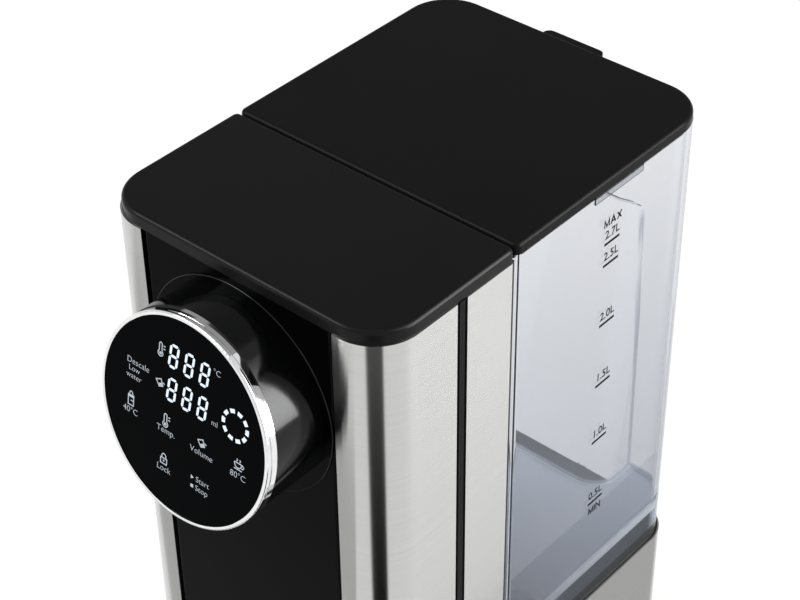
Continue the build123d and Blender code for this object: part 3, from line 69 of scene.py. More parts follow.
# Tank
TANK_WALL_X = 74.2 * MM
TANK_PRINT_Y = 72.5 * MM      # middles of the marks along the wall
TANK_FLOOR_Z = 96.0 * MM
COVER_TOP_Z = 320.0 * MM

# Tones of the clear plastic, those of the skirt, the ledges and the recess edges being painted shade, and
# where each of them begins and is full
HAZE_TONE = (0.80, 0.84, 0.90)
RIM_TONE = (0.20, 0.23, 0.32)
# Painted shade: the skirt below the floor is darkened to stand in for the dark base seen through it
SKIRT_PAINTED_SHADE = (0.36, 0.42, 0.50)
# Painted shade: the grip ledge outside the right wall is darkened to stand in for the shade under the lid's
# edge
LEDGE_PAINTED_SHADE = (0.27, 0.29, 0.33)
# Painted shade: dark lines along the upright edges of the rear recess, standing in for the view their
# rounding bends
RECESS_EDGE_PAINTED_SHADE = (0.24, 0.26, 0.32)
PLASTIC_IOR = 1.42
PLASTIC_GLINT = (0.62, 0.75, 1.0)
RIM_BLEND = 0.5
RIM_RUN = (0.5, 1.0)          # share of grazing sight
SKIRT_SHADE_RUN_Z = (TANK_FLOOR_Z - 3 * MM, TANK_FLOOR_Z - 4 * MM)
LEDGE_SHADE_RUN_X = (TANK_WALL_X + 0.2 * MM, TANK_WALL_X + 0.4 * MM)
FLOOR_UPPER_RUN_Z = (TANK_FLOOR_Z + 3 * MM, TANK_FLOOR_Z + MM)
FLOOR_LOWER_RUN_Z = (TANK_FLOOR_Z - 4 * MM, TANK_FLOOR_Z - 3 * MM)
FLOOR_HAZE = (0.16, 0.78)     # share at the run's front and rear
HAZE_RUN_Y = (20.0 * MM, 140.0 * MM)

# Painted shade along the upright edges of the tank's rear recess
RECESS_TOP_Z = 252.0 * MM
RECESS_HALF = (45.8 * MM, 44.0 * MM)   # half width at the floor and at the top
EDGE_HALF = 1.1 * MM
EDGE_RUN_Y = (136.0 * MM, 137.0 * MM)
EDGE_RUN_Z = (RECESS_TOP_Z, RECESS_TOP_Z - 6 * MM)

# Noise in the finishes: features per metre, and the depth and strength of its relief
NOISE_RANGE = (0.3, 0.7)      # where most of a noise's values lie
TONE_SCALE = 14.0             # tone of moulded pieces
GLOSS_SCALE = 9.0             # gloss of brushed metal
MARKS_SCALE = 220.0           # handling marks on plain metal
RIPPLE_SCALE = 26.0           # ripples of the clear plastic
GLOW_SCALE = 400.0            # lit figures
GRAIN_DEPTH = 0.05 * MM
STREAK_DEPTH = 0.02 * MM
STREAK_RELIEF = 0.02
RIPPLE_DEPTH = 0.5 * MM
RIPPLE_RELIEF = 0.06

# Further values of single kinds of finish
BRUSH_TURN = 0.25             # turns of the anisotropy
MILKY_ROUGH = (0.35, 0.5)
MILKY_GRAIN = 900.0
MILKY_RELIEF = 0.04
MILKY_SHARE = 0.35
MILKY_DEPTH = 2 * MM
LIT_BASE = (0.02, 0.02, 0.02)
LIT_ROUGHNESS = 0.2
LIT_LEAST = 0.9               # darkest share of a lit figure's colour


# Shader helpers

def empty_tree(owner):
    """Cleared node tree of a material or a world."""
    owner.use_nodes = True
    owner.node_tree.nodes.clear()
    return owner.node_tree


def bare_material(name):
    """Material with nothing but its output: the material, its tree and the output's surface."""
    material = bpy.data.materials.new(name)
    tree = empty_tree(material)
    output = tree.nodes.new("ShaderNodeOutputMaterial")
    return material, tree, output.inputs["Surface"]


def new_material(name):
    """Material with a Principled shader: the material, its tree and the shader."""
    material, tree, surface = bare_material(name)
    shader = tree.nodes.new("ShaderNodeBsdfPrincipled")
    tree.links.new(shader.outputs["BSDF"], surface)
    return material, tree, shader


def feed(tree, value, socket):
    """Gives a socket a colour, a number or the output of another node."""
    if isinstance(value, tuple):
        socket.default_value = (*value, 1)
    elif isinstance(value, (int, float)):
        socket.default_value = value
    else:
        tree.links.new(value, socket)


def compute(tree, operation, *values):
    """Result of a calculation with values and numbers."""
    node = tree.nodes.new("ShaderNodeMath")
    node.operation = operation
    for value, socket in zip(values, node.inputs):
        feed(tree, value, socket)
    return node.outputs[0]


def map_range(tree, value, source, target=(0.0, 1.0)):
    """Value mapped from one range to another, held beyond the ends."""
    node = tree.nodes.new("ShaderNodeMapRange")
    for name, number in zip(("From Min", "From Max", "To Min", "To Max"), (*source, *target)):
        node.inputs[name].default_value = number
    tree.links.new(value, node.inputs["Value"])
    return node.outputs["Result"]


def blend(tree, share, first, second):
    """Colour between two colours or sockets by a share."""
    node = tree.nodes.new("ShaderNodeMix")
    node.data_type = "RGBA"
    tree.links.new(share, node.inputs["Factor"])
    feed(tree, first, node.inputs["A"])
    feed(tree, second, node.inputs["B"])
    return node.outputs["Result"]


def mix_shaders(tree, share, first, second):
    """Shader between two shaders by a share."""
    node = tree.nodes.new("ShaderNodeMixShader")
    for source, socket in zip((share, first, second), node.inputs):
        tree.links.new(source, socket)
    return node.outputs["Shader"]


def object_coordinates(tree, scale=(1, 1, 1)):
    """Object coordinates, scaled per axis."""
    coordinates = tree.nodes.new("ShaderNodeTexCoord")
    mapping = tree.nodes.new("ShaderNodeMapping")
    mapping.inputs["Scale"].default_value = scale
    tree.links.new(coordinates.outputs["Object"], mapping.inputs["Vector"])
    return mapping.outputs["Vector"]


def along_axis(tree, axis):
    """Place along an axis of the model."""
    coordinates = tree.nodes.new("ShaderNodeTexCoord")
    axes = tree.nodes.new("ShaderNodeSeparateXYZ")
    tree.links.new(coordinates.outputs["Object"], axes.inputs["Vector"])
    return axes.outputs[axis]


def share_along(tree, axis, run):
    """0 at one place along an axis of the model and 1 at another, held beyond them."""
    return map_range(tree, along_axis(tree, axis), run)


def noise(tree, vector, scale, detail):
    """Noise value over a vector."""
    node = tree.nodes.new("ShaderNodeTexNoise")
    node.inputs["Scale"].default_value = scale
    node.inputs["Detail"].default_value = detail
    tree.links.new(vector, node.inputs["Vector"])
    return node.outputs["Fac"]


def spread(tree, value, target):
    """A noise value mapped to a range."""
    return map_range(tree, value, NOISE_RANGE, target)


def tint(tree, value, dark, light):
    """Colour between two tones by a noise value."""
    ramp = tree.nodes.new("ShaderNodeValToRGB")
    for stop, position, tone in zip(ramp.color_ramp.elements, NOISE_RANGE, (dark, light)):
        stop.position = position
        stop.color = (*tone, 1)
    tree.links.new(value, ramp.inputs["Fac"])
    return ramp.outputs["Color"]


def bump(tree, shader, height, strength, distance):
    """Relief of a surface from a height value."""
    node = tree.nodes.new("ShaderNodeBump")
    node.inputs["Strength"].default_value = strength
    node.inputs["Distance"].default_value = distance
    tree.links.new(height, node.inputs["Height"])
    tree.links.new(node.outputs["Normal"], shader.inputs["Normal"])


# Kinds of finish

def grained(name, dark, light, rough, grain, relief, specular=0.5):
    """Moulded material: fine grain in its relief and gloss, faint change of tone over larger areas."""
    material, tree, shader = new_material(name)
    fine = noise(tree, object_coordinates(tree), grain, detail=2.0)
    broad = noise(tree, object_coordinates(tree), TONE_SCALE, detail=2.0)
    tree.links.new(tint(tree, broad, dark, light), shader.inputs["Base Color"])
    tree.links.new(spread(tree, fine, rough), shader.inputs["Roughness"])
    shader.inputs["Specular IOR Level"].default_value = specular
    bump(tree, shader, fine, relief, GRAIN_DEPTH)
    return material


def brushed(name, dark, light, rough, streak_scale, anisotropy):
    """Brushed metal: streaks run along the axes with a low scale."""
    material, tree, shader = new_material(name)
    streaks = noise(tree, object_coordinates(tree, streak_scale), 1.0, detail=2.0)
    broad = noise(tree, object_coordinates(tree), GLOSS_SCALE, detail=1.0)
    tree.links.new(tint(tree, streaks, dark, light), shader.inputs["Base Color"])
    tree.links.new(spread(tree, broad, rough), shader.inputs["Roughness"])
    shader.inputs["Metallic"].default_value = 1.0
    shader.inputs["Anisotropic"].default_value = anisotropy
    shader.inputs["Anisotropic Rotation"].default_value = BRUSH_TURN
    tangent = tree.nodes.new("ShaderNodeTangent")
    tangent.direction_type = "RADIAL"
    tangent.axis = "Z"
    tree.links.new(tangent.outputs["Tangent"], shader.inputs["Tangent"])
    bump(tree, shader, streaks, STREAK_RELIEF, STREAK_DEPTH)
    return material


def metal(name, dark, light, rough):
    """Plain bright metal with faint handling marks."""
    material, tree, shader = new_material(name)
    marks = noise(tree, object_coordinates(tree), MARKS_SCALE, detail=4.0)
    tree.links.new(tint(tree, marks, dark, light), shader.inputs["Base Color"])
    tree.links.new(spread(tree, marks, rough), shader.inputs["Roughness"])
    shader.inputs["Metallic"].default_value = 1.0
    return material


def milky(name, dark, light):
    """Soft translucent silicone or nylon."""
    material = grained(name, dark, light, MILKY_ROUGH, MILKY_GRAIN, MILKY_RELIEF)
    shader = material.node_tree.nodes["Principled BSDF"]
    shader.inputs["Subsurface Weight"].default_value = MILKY_SHARE
    shader.inputs["Subsurface Radius"].default_value = (MILKY_DEPTH, MILKY_DEPTH, MILKY_DEPTH)
    shader.inputs["Subsurface Scale"].default_value = 1.0
    return material


def lit(name, color, strength):
    """Lit figure behind the glass."""
    material, tree, shader = new_material(name)
    glow = noise(tree, object_coordinates(tree), GLOW_SCALE, detail=1.0)
    darkest = [LIT_LEAST * c for c in color]
    tree.links.new(tint(tree, glow, darkest, color), shader.inputs["Emission Color"])
    shader.inputs["Base Color"].default_value = (*LIT_BASE, 1)
    shader.inputs["Emission Strength"].default_value = strength
    shader.inputs["Roughness"].default_value = LIT_ROUGHNESS
    return material


def recess_edge_shade(tree):
    """Share of painted shade: 1 along the upright edges of the tank's rear recess, falling to 0 beside
    them.
    """
    side = compute(tree, "ABSOLUTE", along_axis(tree, "X"))
    half = map_range(tree, along_axis(tree, "Z"), (TANK_FLOOR_Z, RECESS_TOP_Z), RECESS_HALF)
    off = compute(tree, "ABSOLUTE", compute(tree, "SUBTRACT", side, half))
    near = map_range(tree, off, (EDGE_HALF, 0.0))
    rear = share_along(tree, "Y", EDGE_RUN_Y)
    below = share_along(tree, "Z", EDGE_RUN_Z)
    return compute(tree, "MULTIPLY", compute(tree, "MULTIPLY", near, rear), below)


def floor_haze(tree):
    """Share of haze: none outside the tank's floor, and growing to its rear."""
    under = share_along(tree, "Z", FLOOR_UPPER_RUN_Z)
    over = share_along(tree, "Z", FLOOR_LOWER_RUN_Z)
    depth = map_range(tree, along_axis(tree, "Y"), HAZE_RUN_Y, FLOOR_HAZE)
    return compute(tree, "MULTIPLY", compute(tree, "MULTIPLY", under, over), depth)


def clear_plastic(name, low, high, rough):
    """Clear moulded plastic, deeper in tone towards its foot and at its rims, with painted shade in its
    skirt, on its ledges and along the edges of its rear recess, and a haze in its floor. Lamps shine
    straight through it."""
    material, tree, shader = new_material(name)
    ripple = noise(tree, object_coordinates(tree), RIPPLE_SCALE, detail=1.0)
    rise = blend(tree, share_along(tree, "Z", (TANK_FLOOR_Z, COVER_TOP_Z)), low, high)
    sight = tree.nodes.new("ShaderNodeLayerWeight")
    sight.inputs["Blend"].default_value = RIM_BLEND
    grazing = map_range(tree, sight.outputs["Facing"], RIM_RUN)
    rimmed = blend(tree, grazing, rise, RIM_TONE)
    # Painted shade along the recess edges
    edge_shaded = blend(tree, recess_edge_shade(tree), rimmed, RECESS_EDGE_PAINTED_SHADE)
    # Painted shade: the skirt is darkened as if the dark base showed through it
    skirt_shaded = blend(tree, share_along(tree, "Z", SKIRT_SHADE_RUN_Z), edge_shaded, SKIRT_PAINTED_SHADE)
    # Painted shade on the grip ledge under the lid's edge
    tone = blend(tree, share_along(tree, "X", LEDGE_SHADE_RUN_X), skirt_shaded, LEDGE_PAINTED_SHADE)
    tree.links.new(tone, shader.inputs["Base Color"])
    tree.links.new(spread(tree, ripple, rough), shader.inputs["Roughness"])
    shader.inputs["Transmission Weight"].default_value = 1.0
    shader.inputs["IOR"].default_value = PLASTIC_IOR
    shader.inputs["Specular Tint"].default_value = (*PLASTIC_GLINT, 1)
    bump(tree, shader, ripple, RIPPLE_RELIEF, RIPPLE_DEPTH)

    haze = tree.nodes.new("ShaderNodeBsdfDiffuse")
    haze.inputs["Color"].default_value = (*HAZE_TONE, 1)
    hazed = mix_shaders(tree, floor_haze(tree), shader.outputs["BSDF"], haze.outputs["BSDF"])
    passing = tree.nodes.new("ShaderNodeBsdfTransparent")
    tree.links.new(rise, passing.inputs["Color"])
    path = tree.nodes.new("ShaderNodeLightPath")
    shown = mix_shaders(tree, path.outputs["Is Shadow Ray"], hazed, passing.outputs["BSDF"])
    tree.links.new(shown, tree.nodes["Material Output"].inputs["Surface"])
    return material


# Finishes, one per slot of the record, and a few for single pieces

# Dark and light tone, roughness, grain, relief and specular level
GRAINED = {
    "satin_black": ((0.0074, 0.0074, 0.0080), (0.0084, 0.0084, 0.0090), (0.28, 0.33), 2200.0, 0.03, 0.11),
    "gloss_black": ((0.0016, 0.0018, 0.0022), (0.0024, 0.0026, 0.003), (0.09, 0.13), 300.0, 0.003, 0.25),
    "casing_black": ((0.006, 0.006, 0.007), (0.010, 0.010, 0.011), (0.38, 0.5), 1700.0, 0.08, 0.3),
    "strip_black": ((0.004, 0.004, 0.005), (0.006, 0.006, 0.007), (0.35, 0.45), 900.0, 0.03, 0.06),
    "display_glass": ((0.0008, 0.001, 0.0014), (0.0014, 0.0016, 0.002), (0.02, 0.03), 100.0, 0.001, 0.012),
    "board_green": ((0.010, 0.07, 0.030), (0.016, 0.10, 0.045), (0.25, 0.35), 700.0, 0.03),
    "components": ((0.018, 0.018, 0.02), (0.03, 0.03, 0.033), (0.4, 0.55), 1200.0, 0.06),
    "black_rubber": ((0.012, 0.012, 0.012), (0.02, 0.02, 0.02), (0.65, 0.8), 1400.0, 0.12),
    "valve_grey": ((0.10, 0.105, 0.11), (0.13, 0.135, 0.14), (0.4, 0.5), 1200.0, 0.05),
    "cable_black": ((0.01, 0.01, 0.011), (0.016, 0.016, 0.017), (0.5, 0.6), 1300.0, 0.08),
    # Painted shade: the front panel's finish is a darker, barely reflecting copy of gloss black, standing
    # in for the dark surroundings it reflects
    "panel_black": ((0.0010, 0.0011, 0.0013), (0.0016, 0.0017, 0.0019), (0.035, 0.06), 300.0, 0.003, 0.034),
    # Painted shade: the lid's finish is a duller copy of satin black with a lighter base, standing in for
    # the weaker light on the lid's edges
    "lid_black": ((0.0094, 0.0094, 0.0100), (0.0104, 0.0104, 0.0110), (0.28, 0.33), 2200.0, 0.03, 0.045),
    "print_black": ((0.004, 0.004, 0.005), (0.007, 0.007, 0.008), (0.45, 0.55), 1500.0, 0.04, 0.05),
}

# Dark and light tone, roughness, scale of the streaks per axis and anisotropy
BRUSHED = {
    "brushed_steel": ((0.54, 0.54, 0.53), (0.59, 0.59, 0.58), (0.17, 0.22), (4, 4, 5000), 0.75),
    "stainless": ((0.50, 0.50, 0.50), (0.62, 0.62, 0.62), (0.22, 0.3), (40, 1800, 1800), 0.4),
}

# Dark and light tone and roughness
METAL = {
    "chrome": ((0.80, 0.80, 0.81), (0.88, 0.88, 0.89), (0.03, 0.07)),
    "steel": ((0.48, 0.48, 0.48), (0.58, 0.58, 0.58), (0.28, 0.4)),
}

# Dark and light tone
MILKY = {
    "diffuser": ((0.80, 0.80, 0.78), (0.86, 0.86, 0.84)),
    "silicone": ((0.66, 0.66, 0.63), (0.74, 0.74, 0.71)),
    "white_nylon": ((0.68, 0.68, 0.65), (0.76, 0.76, 0.73)),
}

# Tone at the foot and at the top, and roughness
CLEAR = {
    "tank_clear": ((0.68, 0.695, 0.73), (0.90, 0.912, 0.932), (0.0, 0.03)),
}

# Colour and strength
LIT = {
    "display_white": ((0.80, 0.90, 1.0), 1.1),
    "label_white": ((0.80, 0.90, 1.0), 0.6),
}

KINDS = [(grained, GRAINED), (brushed, BRUSHED), (metal, METAL), (milky, MILKY), (clear_plastic, CLEAR),
         (lit, LIT)]
finishes = {name: make(name, *values) for make, rows in KINDS for name, values in rows.items()}

# The front panel is a blacker, barely reflecting copy of the head's gloss black, painted shade for the dark
# surroundings it reflects; the lid is a duller copy of the front cover's finish with a lighter base,
# painted shade for the weaker light on its edges
OWN_FINISH = {"front_panel": "panel_black", "tank_lid": "lid_black"}


def dress_nodes():
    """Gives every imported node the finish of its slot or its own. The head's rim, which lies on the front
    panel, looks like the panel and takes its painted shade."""
    for row in frame["record"]["subparts"]:
        mesh = nodes[row["node"]].data
        mesh.materials.clear()
        mesh.materials.append(finishes[OWN_FINISH.get(row["node"], row["material_slot"])])

    rim_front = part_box("front_panel")[0].y - RIM_T
    head = nodes["head_shell"].data
    head.materials.append(finishes["panel_black"])
    for face in head.polygons:
        if face.center.y > rim_front and face.normal.y < RIM_NORMAL_Y:
            face.material_index = 1


# Flat prints: figures, symbols and words as thin raised meshes on a plane, drawn in millimetres

MITRE_LEAST = 0.4             # keeps the mitre of a sharp corner short
SAME_PLACE = 1e-6


def axes_matrix(origin, right, up, normal):
    """Matrix of a frame with this origin and these axes."""
    columns = Matrix((right, up, normal)).transposed().to_4x4()
    return Matrix.Translation(origin) @ columns


def sheet(origin, right, up):
    """Matrix of a plane that prints lie on, from its own coordinates to the row frame."""
    right = Vector(right).normalized()
    up = Vector(up).normalized()
    return axes_matrix(origin, right, up, right.cross(up))


def prism(mesh, outline):
    """Adds a thin closed prism over a flat outline on the sheet."""
    low = [mesh.verts.new((x * MM, y * MM, 0)) for x, y in outline]
    high = [mesh.verts.new((x * MM, y * MM, PRINT_T)) for x, y in outline]
    mesh.faces.new(low[::-1])
    mesh.faces.new(high)
    count = len(outline)
    for i in range(count):
        j = (i + 1) % count
        mesh.faces.new((low[i], low[j], high[j], high[i]))


def stroke(mesh, points, width, closed=False):
    """Adds a line of even width through points, one prism per run, with mitred joints."""
    pts = [Vector(p) for p in points]
    count = len(pts)
    runs = count if closed else count - 1
    sides = []
    for i in range(count):
        before = pts[i] - pts[i - 1] if closed or i > 0 else pts[1] - pts[0]
        after = pts[(i + 1) % count] - pts[i] if closed or i < count - 1 else before
        along = before.normalized() + after.normalized()
        along = along.normalized() if along.length > SAME_PLACE else before.normalized()
        across = Vector((-along.y, along.x))
        reach = width / 2 / max(along.dot(after.normalized()), MITRE_LEAST)
        sides.append((pts[i] - across * reach, pts[i] + across * reach))
    for i in range(runs):
        j = (i + 1) % count
        prism(mesh, [sides[i][0], sides[j][0], sides[j][1], sides[i][1]])


def rectangle(left, low, right, high):
    """Corners of an upright rectangle."""
    return [(left, low), (right, low), (right, high), (left, high)]


def arc(center, radius, start, end, steps=12):
    """Points along an arc, angles in degrees, counter-clockwise from the right."""
    angles = [radians(start + (end - start) * i / steps) for i in range(steps + 1)]
    return [(center[0] + radius * cos(a), center[1] + radius * sin(a)) for a in angles]


def place(name, mesh, plane, body, material):
    """Turns a mesh into a piece on a plane that rides on a body."""
    data = bpy.data.meshes.new(name)
    bmesh.ops.recalc_face_normals(mesh, faces=mesh.faces)
    mesh.to_mesh(data)
    mesh.free()
    data.transform(plane)
    data.materials.append(material)
    piece = bpy.data.objects.new(name, data)
    scene.collection.objects.link(piece)
    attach(piece, body)


def add_words(mesh, words, x, y, size, heavy, align="CENTER"):
    """Adds words to a mesh, with their middle line's start or centre at a point. Heavy is how far their
    outline is moved out."""
    curve = bpy.data.curves.new("words", "FONT")
    curve.body = words
    curve.size = size * MM
    curve.align_x = align
    curve.align_y = "CENTER"
    curve.extrude = PRINT_T / 2
    curve.offset = heavy * MM
    curve.resolution_u = 3
    holder = bpy.data.objects.new("words", curve)
    scene.collection.objects.link(holder)
    data = bpy.data.meshes.new_from_object(holder)
    data.transform(Matrix.Translation((x * MM, y * MM, PRINT_T / 2)))
    mesh.from_mesh(data)
    bpy.data.objects.remove(holder)
    bpy.data.meshes.remove(data)


# Display

DIGIT_WIDTH = 5.1
DIGIT_HEIGHT = 11.0
DIGIT_PITCH = 8.35
DIGIT_LEFT = -7.0        # middle of the first figure
DIGIT_COUNT = 3
DIGIT_SLANT = 0.10
SEGMENT_WIDTH = 1.15
SEGMENT_GAP = 0.28
TEMPERATURE_ROW = 26.4   # middle of the upper row of figures
VOLUME_ROW = 11.1
ICON_LINE = 0.45
LABEL_HEAVY = -0.06
RING_PLACE = (27.3, 12.1)
RING_RADIUS = 6.3
RING_LINE = 1.75
RING_DASHES = 10
DASH_HALF = 11           # degrees


def segment(mesh, start, end, middle):
    """One pointed segment of a figure between two corners, slanted with the figure."""
    a = Vector(start)
    b = Vector(end)
    along = (b - a).normalized()
    across = Vector((-along.y, along.x))
    half = SEGMENT_WIDTH / 2
    tip_a = a + along * SEGMENT_GAP
    tip_b = b - along * SEGMENT_GAP
    points = [tip_a, tip_a + (along - across) * half, tip_b - (along + across) * half,
              tip_b, tip_b - (along - across) * half, tip_a + (along + across) * half]
    prism(mesh, [(middle[0] + p.x + DIGIT_SLANT * p.y, middle[1] + p.y) for p in points])


def figure_eight(mesh, x, y):
    """All seven segments of a figure about its middle."""
    w = (DIGIT_WIDTH - SEGMENT_WIDTH) / 2
    h = (DIGIT_HEIGHT - SEGMENT_WIDTH) / 2
    runs = [((-w, h), (w, h)), ((-w, 0), (w, 0)), ((-w, -h), (w, -h)), ((-w, 0), (-w, h)),
            ((w, 0), (w, h)), ((-w, -h), (-w, 0)), ((w, -h), (w, 0))]
    for start, end in runs:
        segment(mesh, start, end, (x, y))


def thermometer(mesh, x, y):
    """Bulb and stem, with two ticks beside the stem."""
    stem = arc((x, y + 2.2), 0.75, 0, 180, 6)
    bulb = arc((x, y - 1.9), 1.35, 124, 416, 14)
    stroke(mesh, stem + bulb, ICON_LINE, closed=True)
    prism(mesh, arc((x, y - 1.9), 0.7, 0, 345, 11))
    for rise in (0.6, 1.9):
        stroke(mesh, [(x + 1.5, y + rise), (x + 2.5, y + rise)], ICON_LINE)


def bottle(mesh, x, y):
    """Feeding bottle with a collar, a teat and a level line."""
    stroke(mesh, rectangle(x - 1.5, y - 3.0, x + 1.5, y + 0.9), ICON_LINE, closed=True)
    prism(mesh, rectangle(x - 1.75, y + 1.1, x + 1.75, y + 1.9))
    teat = arc((x, y + 2.7), 0.75, 170, 10, 6)
    stroke(mesh, [(x - 1.0, y + 2.1)] + teat + [(x + 1.0, y + 2.1)], ICON_LINE)
    stroke(mesh, [(x - 0.1, y - 0.8), (x + 1.3, y - 0.8)], ICON_LINE)


def tilted_cup(mesh, x, y):
    """Small cup, tipped and part full, with a short line beside it."""
    body = [(x - 2.1, y + 0.9), (x + 0.6, y + 2.0), (x + 1.7, y - 0.9), (x - 0.3, y - 1.7)]
    stroke(mesh, body, ICON_LINE, closed=True)
    prism(mesh, [(x - 0.6, y - 0.3), (x + 1.1, y + 0.4), (x + 1.4, y - 0.7), (x - 0.2, y - 1.3)])
    stroke(mesh, [(x + 1.6, y + 0.8), (x + 2.6, y + 0.3)], ICON_LINE)


def steaming_cup(mesh, x, y):
    """Cup with a handle, a saucer and steam."""
    bowl = [(x - 2.0, y + 0.9), (x + 1.6, y + 0.9)] + arc((x - 0.2, y + 0.5), 1.85, 0, -180, 10)
    stroke(mesh, bowl, ICON_LINE, closed=True)
    stroke(mesh, arc((x + 2.0, y), 0.8, 110, -110, 8), ICON_LINE)
    stroke(mesh, [(x - 2.2, y - 2.0), (x + 2.0, y - 2.0)], ICON_LINE)
    for shift in (-1.0, 0.6):
        stroke(mesh, [(x + shift, y + 1.5), (x + shift + 0.35, y + 2.1), (x + shift, y + 2.7)], ICON_LINE)


def padlock(mesh, x, y):
    """Closed padlock with a keyhole."""
    stroke(mesh, rectangle(x - 1.7, y - 2.1, x + 1.7, y + 0.5), ICON_LINE, closed=True)
    bow = arc((x, y + 1.5), 1.1, 180, 0, 10)
    stroke(mesh, [(x - 1.1, y + 0.6)] + bow + [(x + 1.1, y + 0.6)], ICON_LINE)
    prism(mesh, arc((x, y - 0.7), 0.45, 0, 330, 9))


def dash_ring(mesh, x, y):
    """Ring of dashes that shows the flow."""
    for i in range(RING_DASHES):
        middle = 360 * i / RING_DASHES
        stroke(mesh, arc((x, y), RING_RADIUS, middle - DASH_HALF, middle + DASH_HALF, 6), RING_LINE)


# Symbols and their middles, from the middle of the glass
SYMBOLS = [(thermometer, -14.2, 26.6), (tilted_cup, -13.6, 11.3), (bottle, -29.0, -3.9),
           (thermometer, -9.4, -4.1), (tilted_cup, 10.7, -4.7), (steaming_cup, 30.5, -4.3),
           (padlock, -9.1, -22.6)]
START_SIGN = [(6.2, -23.4), (6.2, -21.6), (7.8, -22.5)]
STOP_SIGN = rectangle(6.3, -27.3, 7.8, -25.8)

# Words, their places, sizes and alignment
LABELS = [("°C", 16.0, 30.2, 3.8, "CENTER"), ("ml", 16.6, 7.6, 3.7, "CENTER"),
          ("Descale", -26.0, 13.7, 4.0, "CENTER"), ("Low", -28.0, 10.3, 3.6, "CENTER"),
          ("water", -28.0, 6.9, 3.6, "CENTER"), ("40°C", -29.0, -9.4, 4.0, "CENTER"),
          ("Temp.", -8.9, -9.0, 4.0, "CENTER"), ("Volume", 10.8, -9.4, 4.0, "CENTER"),
          ("80°C", 30.6, -9.3, 4.0, "CENTER"), ("Lock", -8.9, -27.0, 4.0, "CENTER"),
          ("Start", 8.8, -22.5, 3.8, "LEFT"), ("Stop", 8.8, -26.6, 3.8, "LEFT")]


def dress_display():
    """Lit figures, symbols and labels on the glass."""
    low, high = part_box("display_glass")
    normal = Vector((0, -cos(HEAD_TILT), sin(HEAD_TILT)))
    front = (low + high) / 2 + normal * GLASS_HALF_T
    glass = sheet(front, (1, 0, 0), (0, sin(HEAD_TILT), cos(HEAD_TILT)))

    figures = bmesh.new()
    for row in (TEMPERATURE_ROW, VOLUME_ROW):
        for step in range(DIGIT_COUNT):
            figure_eight(figures, DIGIT_LEFT + step * DIGIT_PITCH, row)
    dash_ring(figures, *RING_PLACE)
    place("display_figures", figures, glass, "housing", finishes["display_white"])

    symbols = bmesh.new()
    for draw, x, y in SYMBOLS:
        draw(symbols, x, y)
    prism(symbols, START_SIGN)
    prism(symbols, STOP_SIGN)
    place("display_symbols", symbols, glass, "housing", finishes["label_white"])

    labels = bmesh.new()
    for words, x, y, size, align in LABELS:
        add_words(labels, words, x, y, size, LABEL_HEAVY, align)
    place("display_labels", labels, glass, "housing", finishes["label_white"])


# Tank marks

MARK_LENGTH = 10.6
MARK_LINE = 1.3
TEXT_SIZE = 6.0
TEXT_RISE = 0.75 * TEXT_SIZE   # middle of a number above its line
TEXT_HEAVY = 0.06
WORD_HEIGHT = 4.4
WORD_LINE = 0.8
WORD_GAP = 1.25          # between the lines of two letters
WORD_RISE = 10.8         # MAX above the highest line
WORD_FALL = 5.0          # MIN below the lowest

# Numbers, and the drop of their lines below the cover's top
LEVELS = [("2.7L", -34.6), ("2.5L", -45.8), ("2.0L", -77.9), ("1.5L", -111.8), ("1.0L", -145.1),
          ("0.5L", -183.1)]

# Capitals of the heavy words: width as a share of the height, and lines in a unit square
CAPITALS = {
    "M": (0.70, [[(0, 0), (0, 1), (0.5, 0.1), (1, 1), (1, 0)]]),
    "A": (0.72, [[(0, 0), (0.5, 1), (1, 0)], [(0.2, 0.33), (0.8, 0.33)]]),
    "X": (0.64, [[(0, 0), (1, 1)], [(0, 1), (1, 0)]]),
    "I": (0.0, [[(0, 0), (0, 1)]]),
    "N": (0.62, [[(0, 0), (0, 1), (1, 0), (1, 1)]]),
}


def add_capitals(mesh, word, y):
    """Adds a heavy word about the middle of the sheet, with its middle at a height."""
    height = WORD_HEIGHT - WORD_LINE
    widths = [CAPITALS[letter][0] * WORD_HEIGHT for letter in word]
    left = -(sum(widths) + WORD_GAP * (len(word) - 1)) / 2
    for letter, width in zip(word, widths):
        for line in CAPITALS[letter][1]:
            points = [(left + u * width, y + (v - 0.5) * height) for u, v in line]
            stroke(mesh, points, WORD_LINE)
        left += width + WORD_GAP


def dress_tank():
    """Litre marks on the right wall of the tank."""
    wall = sheet((TANK_WALL_X, TANK_PRINT_Y, COVER_TOP_Z), (0, 1, 0), (0, 0, 1))
    marks = bmesh.new()
    for words, drop in LEVELS:
        stroke(marks, [(-MARK_LENGTH / 2, drop), (MARK_LENGTH / 2, drop)], MARK_LINE)
        add_words(marks, words, 0, drop + TEXT_RISE, TEXT_SIZE, TEXT_HEAVY)
    add_capitals(marks, "MAX", LEVELS[0][1] + WORD_RISE)
    add_capitals(marks, "MIN", LEVELS[-1][1] - WORD_FALL)
    place("tank_marks", marks, wall, "tank", finishes["print_black"])


# Studio

WHITE = (1, 1, 1)
REFLECTED_WHITE = (0.8, 0.8, 0.8)
FILL_STRENGTH = 0.5
FLOOR_TONE = (0.85, 0.85, 0.85)
FLOOR_GLOW = 1.06
FLOOR_GLOW_SHARE = 0.9
FLOOR_SIZE = 8
TARGET = (0, 0, 0.25)         # what the lamps and the rear card point at
LAMP_SIZE = 1.0
LAMPS = [("key", (-1.18, -1.41, 1.58), 24), ("side", (1.7, 0.2, 1.3), 12)]   # place and power

